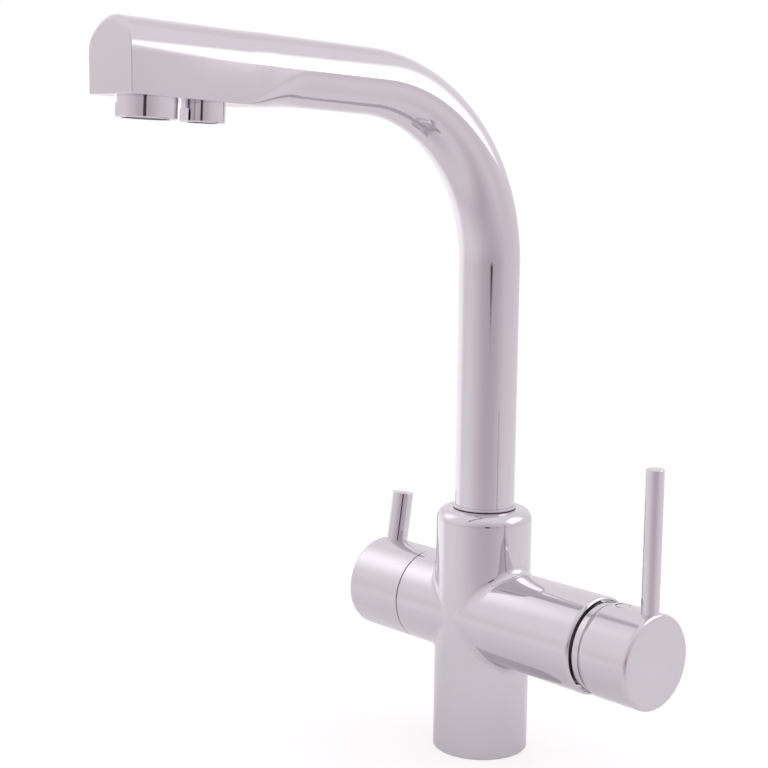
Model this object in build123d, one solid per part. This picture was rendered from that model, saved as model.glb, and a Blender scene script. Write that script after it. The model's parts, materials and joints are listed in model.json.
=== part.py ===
"""Three way filtered water tap: hot and cold mixer, and a filtered water valve.

Frame: +Z up, +X along the cross axis towards the mixer handle, -Y the way the spout points.
Origin: centre of the column's foot, on the face that sits on the worktop. Millimetres.
"""
import os
from math import cos, radians, sin

from build123d import *

# ---------------------------------------------------------------- driving dimensions
# Column and the two arms on the cross axis
column_diameter = 45.0
column_height = 117.0
arm_step = 0.2
arm_fillet = 4.0
shoulder_fillet = 3.2
foot_chamfer = 0.5
mixer_arm_reach = 73.3
mixer_arm_edge_radius = 1.6
filter_arm_reach = 36.5

# Water inlets, fixing stud and gasket in the column's foot
inlet_hole_diameter = 9.0
inlet_hole_depth = 13.0
inlet_circle_radius = 11.2
inlet_angles = {"cold": -60.0, "hot": 60.0, "filtered": 180.0}
stud_hole_diameter = 6.8
stud_hole_depth = 14.0
gasket_inset = 1.2
gasket_width = 2.6
gasket_thickness = 1.5
passage_diameter = 7.0
mixed_rise_height = 2.5
filtered_passage_diameter = 3.0
filtered_passage_inset = 1.0

# Mixer handle, lever and tilt
handle_gap = 2.0
handle_inset = 0.8
handle_length = 29.7
handle_rear_gap = 1.3
handle_rear_taper = 5.2
handle_wall = 4.0
handle_end_wall = 10.0
handle_edge_radius = 1.2
handle_boss_diameter = 14.0
boss_screw_wall = 1.0
lever_diameter = 8.0
lever_top = 84.6
lever_inset = 4.6
lever_tenon_diameter = 6.0
lever_tenon_length = 10.0
lever_edge_chamfer = 0.5
lever_socket_depth = 2.0
mixer_pivot_gap = 3.7
mixer_tilt_range = 15.0
index_plug_diameter = 6.0
index_plug_length = 3.2
index_plug_inset = 10.2

# Mixer cartridge, lying on the cross axis
cartridge_diameter = 35.0
cartridge_depth = 24.0
cartridge_port_diameter = 6.0
cartridge_port_radius = 9.0
cartridge_peg_diameter = 3.0
cartridge_peg_length = 3.0
cartridge_peg_radius = 13.5
cartridge_peg_angles = (-30.0, 30.0)
cartridge_cavity_diameter = 29.0
cartridge_neck_wall = 2.5
cartridge_neck_bore = 18.0
cartridge_neck_length = 8.0
cartridge_roof_thickness = 2.0
seal_section = 1.4
seal_depth = 1.2
fixed_disc_thickness = 3.5
moving_disc_thickness = 3.0
moving_disc_diameter = 21.0
mixing_pocket_diameter = 12.0
mixing_pocket_depth = 1.5
carrier_thickness = 4.55
carrier_floor = 1.05
turret_flange_diameter = 24.0
turret_flange_thickness = 1.2
turret_nose = 3.2
turret_lug_width = 8.0
turret_lug_thickness = 2.0
turret_lug_length = 3.0
pivot_pin_diameter = 3.0
stem_width = 6.0
stem_hub_diameter = 8.0
stem_arm_diameter = 3.6
stem_ball_diameter = 4.4
retaining_nut_rim = 1.5
retaining_nut_thickness = 3.8
nut_key_hole_count = 4
nut_key_hole_diameter = 2.6
nut_key_hole_depth = 2.0
mouth_wall = 1.5
mouth_depth = 3.4
mouth_chamfer = 0.5

# Filter valve, handle and lever
filter_handle_gap = 0.5
filter_handle_length = 35.2
filter_handle_edge_radius = 2.0
filter_handle_wall = 3.3
filter_lever_diameter = 10.5
filter_lever_top = 46.3
filter_lever_inset = 7.65
filter_lever_tenon_diameter = 6.8
filter_lever_tenon_length = 9.5
filter_lever_lean = 9.0
valve_insertion = 18.5
valve_body_diameter = 18.4
valve_wall = 1.8
valve_flange_diameter = 25.0
valve_flange_thickness = 5.5
valve_neck_diameter = 16.0
valve_neck_length = 7.5
valve_chamber_diameter = 22.0
valve_chamber_inset = 4.0
valve_chamber_length = 8.0
valve_window_diameter = 4.4
valve_seal_thickness = 1.5
valve_seal_bore = 6.4
valve_disc_thickness = 3.0
valve_port_diameter = 4.0
valve_port_radius = 3.6
valve_ring_groove_inset = 4.5
valve_ring_groove_depth = 1.5
spindle_diameter = 8.0
spindle_head_thickness = 3.8
spindle_grip = 12.0
spindle_flat_depth = 0.6
spindle_flat_length = 10.0

# Grub screws
grub_screw_diameter = 5.0
grub_screw_length = 8.0
grub_screw_socket = 2.5
handle_screw_diameter = 4.0
handle_screw_socket = 2.0
filter_screw_inset = 6.0
keeper_screw_recess = 0.5

# Spout
spout_diameter = 28.0
spout_wall = 1.5
bend_height = 231.4
bend_radius = 81.2
arm_rise = 2.9
spout_arm_length = 127.1
nose_length = 70.5
nose_transition = 15.0
nose_side_step = 0.6
nose_foot_step = 1.6
nose_top_step = 0.3
nose_spigot_wall = 2.5
nose_tip_wall = 7.5
nose_edge_radius = 1.2
joint_spigot_length = 9.0
foot_barrel_step = 0.55
foot_collar_step = 0.9
foot_collar_height = 1.2
foot_barrel_length = 29.0
foot_spigot_wall = 2.1
foot_port_diameter = 4.4
foot_port_radius = 7.6
foot_port_count = 4
foot_port_first_angle = 45.0
groove_depth = 2.0
ring_groove_width = 2.6
ring_groove_offsets = (1.6, 6.2)
keeper_groove_offset = 12.6
keeper_groove_width = 4.0
keeper_tip_diameter = 2.8
slide_ring_length = 6.0
slide_ring_lip = 0.3
slide_ring_lip_width = 0.2
socket_clear_depth = 1.0
spout_chamber_depth = 9.0
socket_ledge = 2.1

# Filtered water line inside the spout
spigot_diameter = 8.0
spigot_bore = 4.0
spigot_insertion = 7.5
spigot_root = 4.0
spigot_root_wall = 0.65
spigot_end_gap = 0.5
spigot_ring_offset = 2.0
spigot_ring_depth = 1.0
filtered_tube_diameter = 6.0
filtered_tube_bore = 4.0
filtered_tube_seat = 6.0

# Outlets under the nose
mixed_outlet_inset = 16.8
mixed_outlet_diameter = 24.0
mixed_outlet_drop = 8.0
mixed_thread_diameter = 21.6
mixed_thread_length = 7.0
mixed_outlet_bore = 18.6
outlet_spacing = 26.0
filtered_outlet_diameter = 18.2
filtered_outlet_drop = 7.8
filtered_thread_diameter = 14.8
filtered_thread_length = 6.0
filtered_outlet_bore = 12.2
outlet_washer_thickness = 1.2
outlet_insert_length = 7.0
outlet_insert_recess = 1.0
outlet_insert_wall = 1.0
outlet_edge_chamfer = 0.4
outlet_flat_depth = 0.5
outlet_flat_margin = 2.8
grid_hole_diameter = 1.5
grid_hole_depth = 2.0
grid_holes_per_row = 6
grid_margin = 2.0
mixed_grid_rows = 3
filtered_grid_rows = 2
connector_diameter = 10.0
connector_length = 12.0
connector_socket_depth = 3.0

# Clearances
running_gap = 0.05
sliding_gap = 0.05
fixed_gap = 0.05
slot_gap = 0.1
stem_swing_gap = 0.4
pin_end_gap = 0.6
nut_setback = 0.1
nut_neck_gap = 0.7
valve_end_gap = 0.5
keeper_tip_gap = 0.3

# Cutting bodies reach past the face that they cut by this much
cut_overrun = 1.0

# ---------------------------------------------------------------- derived places
column_radius = column_diameter / 2
arm_radius = column_radius - arm_step
handle_radius = arm_radius - handle_inset
gasket_radius = column_radius - gasket_inset

# Spout socket in the top of the column, from the collar down to the cross axis
spout_radius = spout_diameter / 2
spout_bore_radius = spout_radius - spout_wall
foot_radius = spout_radius + foot_barrel_step
collar_radius = spout_radius + foot_collar_step
groove_radius = foot_radius - groove_depth
foot_bottom = column_height - foot_barrel_length
collar_bottom = column_height + sliding_gap + slide_ring_lip
collar_top = collar_bottom + foot_collar_height
keeper_height = foot_bottom + keeper_groove_offset + keeper_groove_width / 2
socket_floor = foot_bottom - socket_clear_depth
spout_chamber_radius = foot_radius + running_gap - socket_ledge
spout_chamber_floor = socket_floor - spout_chamber_depth
spigot_bottom = spout_chamber_floor - spigot_root
spigot_top = foot_bottom + spigot_insertion
filtered_tube_start = spigot_top + spigot_end_gap
foot_core_top = filtered_tube_start + filtered_tube_seat
mixed_rise_start = spout_chamber_floor - mixed_rise_height
mixed_rise_reach = spigot_diameter / 2 + fixed_gap + spigot_root_wall + passage_diameter / 2
cross_axis_height = mixed_rise_start - cartridge_port_radius

# Mixer cartridge, from the arm's mouth inwards
mouth_radius = arm_radius - mouth_wall
mouth_start = mixer_arm_reach - mouth_depth
nut_end = mouth_start - nut_setback
retaining_nut_radius = cartridge_diameter / 2 + retaining_nut_rim
cartridge_shoulder_reach = nut_end - retaining_nut_thickness
cartridge_seat = cartridge_shoulder_reach - cartridge_depth
cartridge_neck_radius = cartridge_neck_bore / 2 + cartridge_neck_wall
cartridge_neck_end = cartridge_shoulder_reach + cartridge_neck_length
roof_start = cartridge_shoulder_reach - cartridge_roof_thickness
turret_start = roof_start - slot_gap - turret_flange_thickness
carrier_end = turret_start - slot_gap
carrier_start = carrier_end - carrier_thickness
moving_disc_start = carrier_start - moving_disc_thickness
fixed_disc_end = moving_disc_start - sliding_gap
fixed_disc_start = fixed_disc_end - fixed_disc_thickness
mixer_pivot_reach = mixer_arm_reach + mixer_pivot_gap
turret_end = mixer_pivot_reach + turret_nose
ball_socket_floor = carrier_start + carrier_floor
ball_reach = ball_socket_floor + slot_gap + stem_ball_diameter / 2
stem_arm_length = mixer_pivot_reach - ball_reach
stem_rest_angle = -mixer_tilt_range / 2

# Mixer handle
handle_start = mixer_arm_reach + handle_gap
handle_end = handle_start + handle_length
handle_rear_radius = mouth_radius - handle_rear_gap
handle_cavity_radius = handle_radius - handle_wall
handle_cavity_end = handle_end - handle_end_wall
handle_screw_reach = handle_start + index_plug_inset
boss_start = handle_screw_reach - handle_screw_diameter / 2 - boss_screw_wall
lever_reach = handle_end - lever_inset

# Filter valve and handle, outwards from the middle
valve_start = filter_arm_reach - valve_insertion
valve_cavity_radius = valve_body_diameter / 2 - valve_wall
valve_ring_root = valve_body_diameter / 2 - valve_ring_groove_depth
valve_ring_groove_start = filter_arm_reach - valve_ring_groove_inset
valve_chamber_start = valve_start + valve_chamber_inset
valve_chamber_end = valve_chamber_start + valve_chamber_length
filtered_passage_reach = valve_chamber_start + filtered_passage_inset
valve_outer = filter_arm_reach + valve_flange_thickness
valve_neck_end = valve_outer + valve_neck_length
valve_disc_start = valve_start + valve_seal_thickness
valve_moving_start = valve_disc_start + valve_disc_thickness + sliding_gap
spindle_head_start = valve_moving_start + valve_disc_thickness
spindle_head_end = spindle_head_start + spindle_head_thickness
filter_handle_start = filter_arm_reach + filter_handle_gap
filter_handle_end = filter_handle_start + filter_handle_length
filter_cavity_radius = arm_radius - filter_handle_wall
filter_cavity_end = valve_neck_end + valve_end_gap
spindle_end = filter_cavity_end + spindle_grip
filter_screw_reach = filter_cavity_end + filter_screw_inset
filter_lever_reach = filter_handle_end - filter_lever_inset

# Spout arm, nose and outlets
bend_sweep = 90.0 - arm_rise
arm_root_y = -bend_radius * (1 - cos(radians(bend_sweep)))
arm_root_z = bend_height + bend_radius * sin(radians(bend_sweep))
tip_y = arm_root_y - spout_arm_length * cos(radians(arm_rise))
nose_start = spout_arm_length - nose_length
nose_half_width = spout_radius + nose_side_step
nose_depth = spout_radius + nose_foot_step
nose_top_height = spout_radius - nose_top_step
nose_bore_radius = spout_bore_radius - nose_spigot_wall
mixed_outlet_reach = spout_arm_length - mixed_outlet_inset
filtered_outlet_reach = mixed_outlet_reach - outlet_spacing
connector_start = filtered_outlet_reach - connector_length / 2

FROM_END = (Align.CENTER, Align.CENTER, Align.MIN)
TO_MIXER = Pos(0, 0, cross_axis_height) * Rot(0, 90, 0)
TO_FILTER = Pos(0, 0, cross_axis_height) * Rot(0, -90, 0)
ON_ARM = Pos(0, arm_root_y, arm_root_z) * Rot(-arm_rise, 0, 0)


# ---------------------------------------------------------------- shapes used by many pieces
def upright(radius, low, high, x=0.0, y=0.0):
    """Round bar along Z from low to high."""
    return Pos(x, y, low) * Cylinder(radius, high - low, align=FROM_END)


def ring(outer, inner, low, high):
    """Round ring along Z."""
    return upright(outer, low, high) - upright(inner, low, high)


def turned(profile):
    """Solid of revolution about Z from (radius, height) corners."""
    outline = Polyline(*[(radius, height) for radius, height in profile], close=True)
    return revolve(Plane.XZ * make_face(outline), Axis.Z)


def slab(width, depth, low, high, x=0.0, y=0.0):
    """Rectangular bar along Z, width along X and depth along Y."""
    return Pos(x, y, low) * Box(width, depth, high - low, align=FROM_END)


def crosswise(radius, start, end, y=0.0, z=0.0):
    """Round bar parallel to the cross axis; y and z are measured from that axis."""
    return Pos(0, y, z) * TO_MIXER * upright(radius, start, end)


def drilled(radius, start, end):
    """Round bar between two points."""
    way = Vector(end) - Vector(start)
    return Plane(origin=start, z_dir=way) * upright(radius, 0, way.length)


def flatted_bar(radius, across, low, high):
    """Round bar along Z with two parallel flats."""
    return upright(radius, low, high) & slab(across, 2 * radius, low, high)


def socket_hexagon(across_corners, top):
    """Hexagonal socket of a grub screw, as deep as it is wide, ending at height top."""
    hexagon = extrude(RegularPolygon(across_corners / 2, 6), across_corners)
    return Pos(0, 0, top - across_corners) * hexagon


def spread(radius, angles):
    """Points on a circle about the origin, one for each angle in degrees."""
    return [(radius * cos(radians(a)), radius * sin(radians(a))) for a in angles]


def even_angles(count, first=0.0):
    """Angles in degrees of a number of places evenly stepped round a circle."""
    return [first + 360 * place / count for place in range(count)]


def around_cross(angle):
    """Turn about the cross axis; a positive angle swings what points up forwards."""
    return Pos(0, 0, cross_axis_height) * Rot(angle, 0, 0) * Pos(0, 0, -cross_axis_height)


def outlet_place(reach):
    """Frame of an outlet: its origin on the nose's flat underside, Z into the nose."""
    return ON_ARM * Pos(0, -reach, -nose_depth)


# ---------------------------------------------------------------- body
def body_shell():
    """Column and arms with the cast fillets between them."""
    shell = upright(column_radius, 0, column_height)
    shell += crosswise(arm_radius, 0, mixer_arm_reach)
    shell += crosswise(arm_radius, -filter_arm_reach, 0)
    shell = fillet(shell.edges().filter_by(GeomType.BSPLINE), arm_fillet)
    shell = fillet(shell.edges().filter_by(GeomType.CIRCLE).sort_by(Axis.Z)[-1], shoulder_fillet)
    shell = chamfer(shell.edges().filter_by(GeomType.CIRCLE).sort_by(Axis.Z)[0], foot_chamfer)
    return fillet(shell.edges().filter_by(GeomType.CIRCLE).sort_by(Axis.X)[-1],
                  mixer_arm_edge_radius)


def mixer_chamber():
    """Stepped bore of the mixer arm: cartridge, nut and the open mouth."""
    bore = cartridge_diameter / 2 + fixed_gap
    nut_bore = retaining_nut_radius + fixed_gap
    return TO_MIXER * turned([
        (0, cartridge_seat), (bore, cartridge_seat),
        (bore, cartridge_shoulder_reach), (nut_bore, cartridge_shoulder_reach),
        (nut_bore, mouth_start), (mouth_radius, mouth_start),
        (mouth_radius, mixer_arm_reach - mouth_chamfer),
        (mouth_radius + mouth_chamfer, mixer_arm_reach),
        (0, mixer_arm_reach)])


def filter_chamber():
    """Stepped bore of the filter arm with the ring space that collects the water."""
    bore = valve_body_diameter / 2 + fixed_gap
    ring_space = valve_chamber_diameter / 2
    return TO_FILTER * turned([
        (0, valve_start), (bore, valve_start),
        (bore, valve_chamber_start), (ring_space, valve_chamber_start),
        (ring_space, valve_chamber_end), (bore, valve_chamber_end),
        (bore, filter_arm_reach), (0, filter_arm_reach)])


def supply_passages():
    """Inlet holes, the passages above them, and the ways to the two valves and the spout."""
    passage = passage_diameter / 2
    cuts = upright(stud_hole_diameter / 2, 0, stud_hole_depth)
    for name, angle in inlet_angles.items():
        (x, y), = spread(inlet_circle_radius, [angle])
        cuts += upright(inlet_hole_diameter / 2, 0, inlet_hole_depth, x, y)
        cuts += upright(passage, inlet_hole_depth, cross_axis_height, x, y)
        if name == "filtered":
            cuts += crosswise(passage, -valve_start, x)
        else:
            cuts += crosswise(passage, x, cartridge_seat, y)
    cuts += crosswise(cartridge_port_diameter / 2, mixed_rise_reach, cartridge_seat,
                      z=cartridge_port_radius)
    cuts += upright(passage, mixed_rise_start, spout_chamber_floor, mixed_rise_reach)
    ring_space_height = cross_axis_height + valve_chamber_diameter / 2 - running_gap
    cuts += drilled(filtered_passage_diameter / 2, (0, 0, spigot_bottom),
                    (-filtered_passage_reach, 0, ring_space_height))
    cuts += upright(spigot_diameter / 2 + fixed_gap, spigot_bottom, spout_chamber_floor)
    return cuts


def cartridge_ports():
    """Places of the cartridge's ports about the cross axis: cold, hot and mixed."""
    side = inlet_circle_radius * sin(radians(inlet_angles["hot"]))
    return [(0.0, -side), (0.0, side), (-cartridge_port_radius, 0.0)]


def cartridge_pegs():
    """Places of the two locating pegs, opposite the mixed port's side."""
    return spread(cartridge_peg_radius, cartridge_peg_angles)


def body_casting():
    """Hollow casting that carries both valves and the spout."""
    body = body_shell() - mixer_chamber() - filter_chamber() - supply_passages()
    peg_hole = cartridge_peg_diameter / 2 + fixed_gap
    for x, y in cartridge_pegs():
        body -= TO_MIXER * upright(peg_hole, cartridge_seat - cartridge_peg_length,
                                   cartridge_seat, x, y)
    body -= upright(foot_radius + running_gap, socket_floor, column_height)
    body -= upright(spout_chamber_radius, spout_chamber_floor, socket_floor)
    body -= keeper_bore()
    body -= ring(gasket_radius + fixed_gap, gasket_radius - gasket_width - fixed_gap,
                 0, gasket_thickness)
    return body


def keeper_bore():
    """Threaded hole in the back of the column for the screw that keeps the spout in."""
    hole = upright(grub_screw_diameter / 2 + fixed_gap, 0, column_radius)
    return Pos(0, 0, keeper_height) * Rot(-90, 0, 0) * hole


def base_gasket():
    """Flat rubber ring in the foot, flush with the face that sits on the worktop."""
    return ring(gasket_radius, gasket_radius - gasket_width, 0, gasket_thickness)


# ---------------------------------------------------------------- mixer cartridge
def cartridge_base():
    """Plastic base plate with three ports, seal seats and locating pegs."""
    base = upright(cartridge_diameter / 2, cartridge_seat, fixed_disc_start)
    seal_seat = cartridge_port_diameter / 2 + seal_section + fixed_gap
    for x, y in cartridge_ports():
        base -= upright(cartridge_port_diameter / 2, cartridge_seat, fixed_disc_start, x, y)
        base -= upright(seal_seat, cartridge_seat, cartridge_seat + seal_depth, x, y)
    for x, y in cartridge_pegs():
        base += upright(cartridge_peg_diameter / 2, cartridge_seat - cartridge_peg_length,
                        cartridge_seat, x, y)
    return TO_MIXER * base


def cartridge_seals():
    """Three rubber rings between the cartridge base and the casting."""
    bore = cartridge_port_diameter / 2
    seal = ring(bore + seal_section, bore, cartridge_seat, cartridge_seat + seal_depth)
    return Compound(children=[TO_MIXER * Pos(x, y, 0) * seal for x, y in cartridge_ports()])


def cartridge_housing():
    """Plastic housing with a neck that guides the turret."""
    outer = cartridge_diameter / 2
    cavity = cartridge_cavity_diameter / 2
    bore = cartridge_neck_bore / 2
    return TO_MIXER * turned([
        (cavity, fixed_disc_start), (outer, fixed_disc_start),
        (outer, cartridge_shoulder_reach), (cartridge_neck_radius, cartridge_shoulder_reach),
        (cartridge_neck_radius, cartridge_neck_end), (bore, cartridge_neck_end),
        (bore, roof_start), (cavity, roof_start)])


def mixer_fixed_disc():
    """Ceramic disc with the three ports, held in the housing."""
    disc = upright(cartridge_cavity_diameter / 2 - fixed_gap, fixed_disc_start, fixed_disc_end)
    for x, y in cartridge_ports():
        disc -= upright(cartridge_port_diameter / 2, fixed_disc_start, fixed_disc_end, x, y)
    return TO_MIXER * disc


def stem_lift():
    """How far the stem's ball lies from the cross axis at rest, along the turret's Z."""
    return stem_arm_length * sin(radians(stem_rest_angle))


def mixer_moving_disc():
    """Ceramic disc with the mixing pocket, shifted to its closed place."""
    disc = upright(moving_disc_diameter / 2, moving_disc_start, carrier_start)
    pocket = upright(mixing_pocket_diameter / 2, moving_disc_start,
                     moving_disc_start + mixing_pocket_depth)
    return Pos(0, 0, stem_lift()) * TO_MIXER * (disc - pocket)


def disc_carrier():
    """Plastic plate on the moving disc, with the stem's socket and two guide flats."""
    plate = upright(moving_disc_diameter / 2, carrier_start, carrier_end)
    guide = 2 * (lug_inner() - slot_gap)
    plate &= slab(moving_disc_diameter, guide, carrier_start, carrier_end)
    socket = stem_ball_diameter + 2 * slot_gap
    plate -= slab(socket, socket, ball_socket_floor, carrier_end)
    return Pos(0, 0, stem_lift()) * TO_MIXER * plate


def lug_inner():
    """Distance from the turret's axis to the inner face of its guide lugs."""
    return moving_disc_diameter / 2 - turret_lug_thickness


def mixer_turret():
    """Turning part of the cartridge: flange, barrel, stem slot and guide lugs."""
    bore = cartridge_neck_bore / 2 - running_gap
    turret = upright(turret_flange_diameter / 2, turret_start,
                     turret_start + turret_flange_thickness)
    turret += upright(bore, turret_start, turret_end)
    for side in (-1, 1):
        turret += slab(turret_lug_width, turret_lug_thickness,
                       turret_start - turret_lug_length, turret_start,
                       y=side * (lug_inner() + turret_lug_thickness / 2))
    slot_height = stem_hub_diameter + 2 * stem_swing_gap
    turret -= slab(slot_height, stem_width + 2 * slot_gap, turret_start, turret_end)
    pin = Rot(90, 0, 0) * Cylinder(pivot_pin_diameter / 2 + fixed_gap, cartridge_neck_bore)
    return TO_MIXER * (turret - Pos(0, 0, mixer_pivot_reach) * pin)


def pivot_pin():
    """Steel pin through the turret that the stem tilts on."""
    pin = Rot(90, 0, 0) * Cylinder(pivot_pin_diameter / 2, cartridge_neck_bore - 2 * pin_end_gap)
    return Pos(mixer_pivot_reach, 0, cross_axis_height) * pin


def mixer_stem():
    """Metal stem: ball and arm inside, hub on the pin, square end in the handle."""
    lower = Sphere(stem_ball_diameter / 2)
    lower += upright(stem_arm_diameter / 2, 0, stem_arm_length)
    lower = Rot(0, stem_rest_angle, 0) * Pos(0, 0, -stem_arm_length) * lower
    hub = Rot(90, 0, 0) * Cylinder(stem_hub_diameter / 2, stem_width)
    square = slab(stem_width, stem_width, 0, handle_cavity_end - mixer_pivot_reach)
    hole = Rot(90, 0, 0) * Cylinder(pivot_pin_diameter / 2 + running_gap, stem_width)
    return TO_MIXER * Pos(0, 0, mixer_pivot_reach) * (lower + hub + square - hole)


def retaining_nut():
    """Threaded ring that clamps the cartridge, with blind holes for its key."""
    bore = cartridge_neck_radius + nut_neck_gap
    nut = ring(retaining_nut_radius, bore, cartridge_shoulder_reach, nut_end)
    for x, y in spread((retaining_nut_radius + bore) / 2, even_angles(nut_key_hole_count)):
        nut -= upright(nut_key_hole_diameter / 2, nut_end - nut_key_hole_depth, nut_end, x, y)
    return TO_MIXER * nut


# ---------------------------------------------------------------- mixer handle
def mixer_handle():
    """Round cap with a hollow back, a boss for the stem and a socket for the lever."""
    cavity = handle_cavity_radius
    handle = turned([
        (cavity, handle_start), (handle_rear_radius, handle_start),
        (handle_radius, handle_start + handle_rear_taper),
        (handle_radius, handle_end), (0, handle_end),
        (0, handle_cavity_end), (cavity, handle_cavity_end)])
    rim = handle.edges().filter_by(GeomType.CIRCLE).sort_by(Axis.Z)[-1]
    handle = fillet(rim, handle_edge_radius)
    handle += upright(handle_boss_diameter / 2, boss_start, handle_cavity_end)
    square = stem_width + 2 * fixed_gap
    handle -= slab(square, square, boss_start, handle_cavity_end)
    handle = TO_MIXER * handle
    ledge = lever_socket_bottom()
    above = cross_axis_height + handle_radius + cut_overrun
    boss_top = cross_axis_height + handle_boss_diameter / 2
    handle -= upright(lever_diameter / 2 + fixed_gap, ledge, above, lever_reach)
    handle -= upright(lever_tenon_diameter / 2 + fixed_gap, ledge - lever_tenon_length,
                      ledge, lever_reach)
    handle -= upright(index_plug_diameter / 2 + fixed_gap, boss_top, above, handle_screw_reach)
    return handle - upright(handle_screw_diameter / 2 + fixed_gap, cross_axis_height, boss_top,
                            handle_screw_reach)


def lever_socket_bottom():
    """Height of the ledge in the handle that the lever's shank stands on."""
    return cross_axis_height + handle_radius - lever_socket_depth


def stick(diameter, tenon_diameter, tenon_length, ledge, top_above_axis):
    """Round lever with a thinner tenon below the ledge and a chamfered top."""
    radius, tenon = diameter / 2, tenon_diameter / 2
    low, top = ledge - tenon_length, cross_axis_height + top_above_axis
    return turned([(0, low), (tenon, low), (tenon, ledge), (radius, ledge),
                   (radius, top - lever_edge_chamfer), (radius - lever_edge_chamfer, top),
                   (0, top)])


def mixer_lever():
    """Straight thin lever that stands on the handle."""
    return Pos(lever_reach, 0, 0) * stick(lever_diameter, lever_tenon_diameter,
                                          lever_tenon_length, lever_socket_bottom(), lever_top)


def handle_screw():
    """Grub screw in the boss, standing on the stem."""
    radius = handle_screw_diameter / 2
    low = cross_axis_height + stem_width / 2
    high = cross_axis_height + handle_boss_diameter / 2
    screw = upright(radius, low, high)
    screw -= socket_hexagon(handle_screw_socket, high)
    return Pos(handle_screw_reach, 0, 0) * screw


def index_plug():
    """Small plug over the screw's access hole, flush with the handle."""
    radius = index_plug_diameter / 2
    high = cross_axis_height + (handle_radius**2 - radius**2) ** 0.5
    return upright(radius, high - index_plug_length, high, handle_screw_reach)


# ---------------------------------------------------------------- filter valve
def filter_valve_body():
    """Quarter turn headwork: screwed barrel, hexagon flange and neck."""
    barrel = valve_body_diameter / 2
    neck = valve_neck_diameter / 2
    valve = upright(barrel, valve_start, filter_arm_reach)
    hexagon = extrude(RegularPolygon(valve_flange_diameter / 2, 6), valve_flange_thickness)
    valve += Pos(0, 0, filter_arm_reach) * hexagon
    valve += upright(neck, valve_outer, valve_neck_end)
    valve -= upright(valve_cavity_radius, valve_start, spindle_head_end + slot_gap)
    valve -= upright(spindle_diameter / 2 + running_gap, spindle_head_end, valve_neck_end)
    valve -= ring(barrel + cut_overrun, valve_ring_root, valve_ring_groove_start,
                  valve_ring_groove_start + ring_groove_width)
    window = Rot(90, 0, 0) * Cylinder(valve_window_diameter / 2, valve_body_diameter)
    return TO_FILTER * (valve - Pos(0, 0, spindle_head_start) * window)


def filter_valve_ring():
    """O-ring of the valve body, squeezed square in its groove."""
    root = valve_ring_root + fixed_gap
    return TO_FILTER * ring(valve_body_diameter / 2 + fixed_gap / 2, root,
                            valve_ring_groove_start + fixed_gap,
                            valve_ring_groove_start + ring_groove_width - fixed_gap)


def filter_valve_seal():
    """Rubber seat under the fixed disc."""
    return TO_FILTER * ring(valve_cavity_radius - fixed_gap, valve_seal_bore / 2,
                            valve_start, valve_disc_start)


def valve_disc(start, radius):
    """Ceramic disc with two ports side by side."""
    disc = upright(radius, start, start + valve_disc_thickness)
    for x, y in spread(valve_port_radius, (0, 180)):
        disc -= upright(valve_port_diameter / 2, start, start + valve_disc_thickness, x, y)
    return TO_FILTER * disc


def filter_fixed_disc():
    """The lower disc, held still by the valve body."""
    return valve_disc(valve_disc_start, valve_cavity_radius - fixed_gap)


def filter_moving_disc():
    """The upper disc, a quarter turn away from the ports of the lower one."""
    disc = valve_disc(valve_moving_start, valve_cavity_radius - running_gap)
    return around_cross(90) * disc


def filter_spindle():
    """Spindle with a driving head on the moving disc and two flats in the handle."""
    head = upright(valve_cavity_radius - running_gap, spindle_head_start, spindle_head_end)
    flats_start = spindle_end - spindle_flat_length
    rod = upright(spindle_diameter / 2, spindle_head_start, flats_start)
    rod += flatted_bar(spindle_diameter / 2, spindle_diameter - 2 * spindle_flat_depth,
                       flats_start, spindle_end)
    return around_cross(-filter_lever_lean) * TO_FILTER * (head + rod)


# ---------------------------------------------------------------- filter handle
def filter_lever_ledge():
    """Height of the ledge that the filter lever stands on, before the handle leans."""
    return cross_axis_height + arm_radius - lever_socket_depth


def filter_handle():
    """Round cap that continues the arm, hollow round the valve's flange."""
    handle = upright(arm_radius, filter_handle_start, filter_handle_end)
    rim = handle.edges().filter_by(GeomType.CIRCLE).sort_by(Axis.Z)[-1]
    handle = fillet(rim, filter_handle_edge_radius)
    handle -= upright(filter_cavity_radius, filter_handle_start, filter_cavity_end)
    handle -= spindle_hole()
    handle = TO_FILTER * handle
    ledge = filter_lever_ledge()
    handle -= upright(filter_lever_diameter / 2 + fixed_gap, ledge,
                      cross_axis_height + arm_radius + cut_overrun, -filter_lever_reach)
    handle -= upright(filter_lever_tenon_diameter / 2 + fixed_gap,
                      ledge - filter_lever_tenon_length, ledge, -filter_lever_reach)
    handle -= upright(grub_screw_diameter / 2 + fixed_gap, 0, cross_axis_height,
                      -filter_screw_reach)
    return around_cross(-filter_lever_lean) * handle


def spindle_hole():
    """Hole of the spindle's flatted end, with the same two flats."""
    radius = spindle_diameter / 2 + fixed_gap
    flat = spindle_diameter - 2 * spindle_flat_depth + 2 * fixed_gap
    flats_start = spindle_end - spindle_flat_length
    return (upright(radius, filter_cavity_end, flats_start)
            + flatted_bar(radius, flat, flats_start, spindle_end))


def filter_lever():
    """Short round stick, leaning back with the handle."""
    lever = stick(filter_lever_diameter, filter_lever_tenon_diameter, filter_lever_tenon_length,
                  filter_lever_ledge(), filter_lever_top)
    return around_cross(-filter_lever_lean) * Pos(-filter_lever_reach, 0, 0) * lever


def filter_handle_screw():
    """Grub screw under the handle that bites on the spindle."""
    radius = grub_screw_diameter / 2
    high = cross_axis_height - spindle_diameter / 2
    screw = upright(radius, high - grub_screw_length, high)
    screw -= socket_hexagon(grub_screw_socket, high - grub_screw_length + grub_screw_socket)
    return around_cross(-filter_lever_lean) * Pos(-filter_screw_reach, 0, 0) * screw


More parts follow.
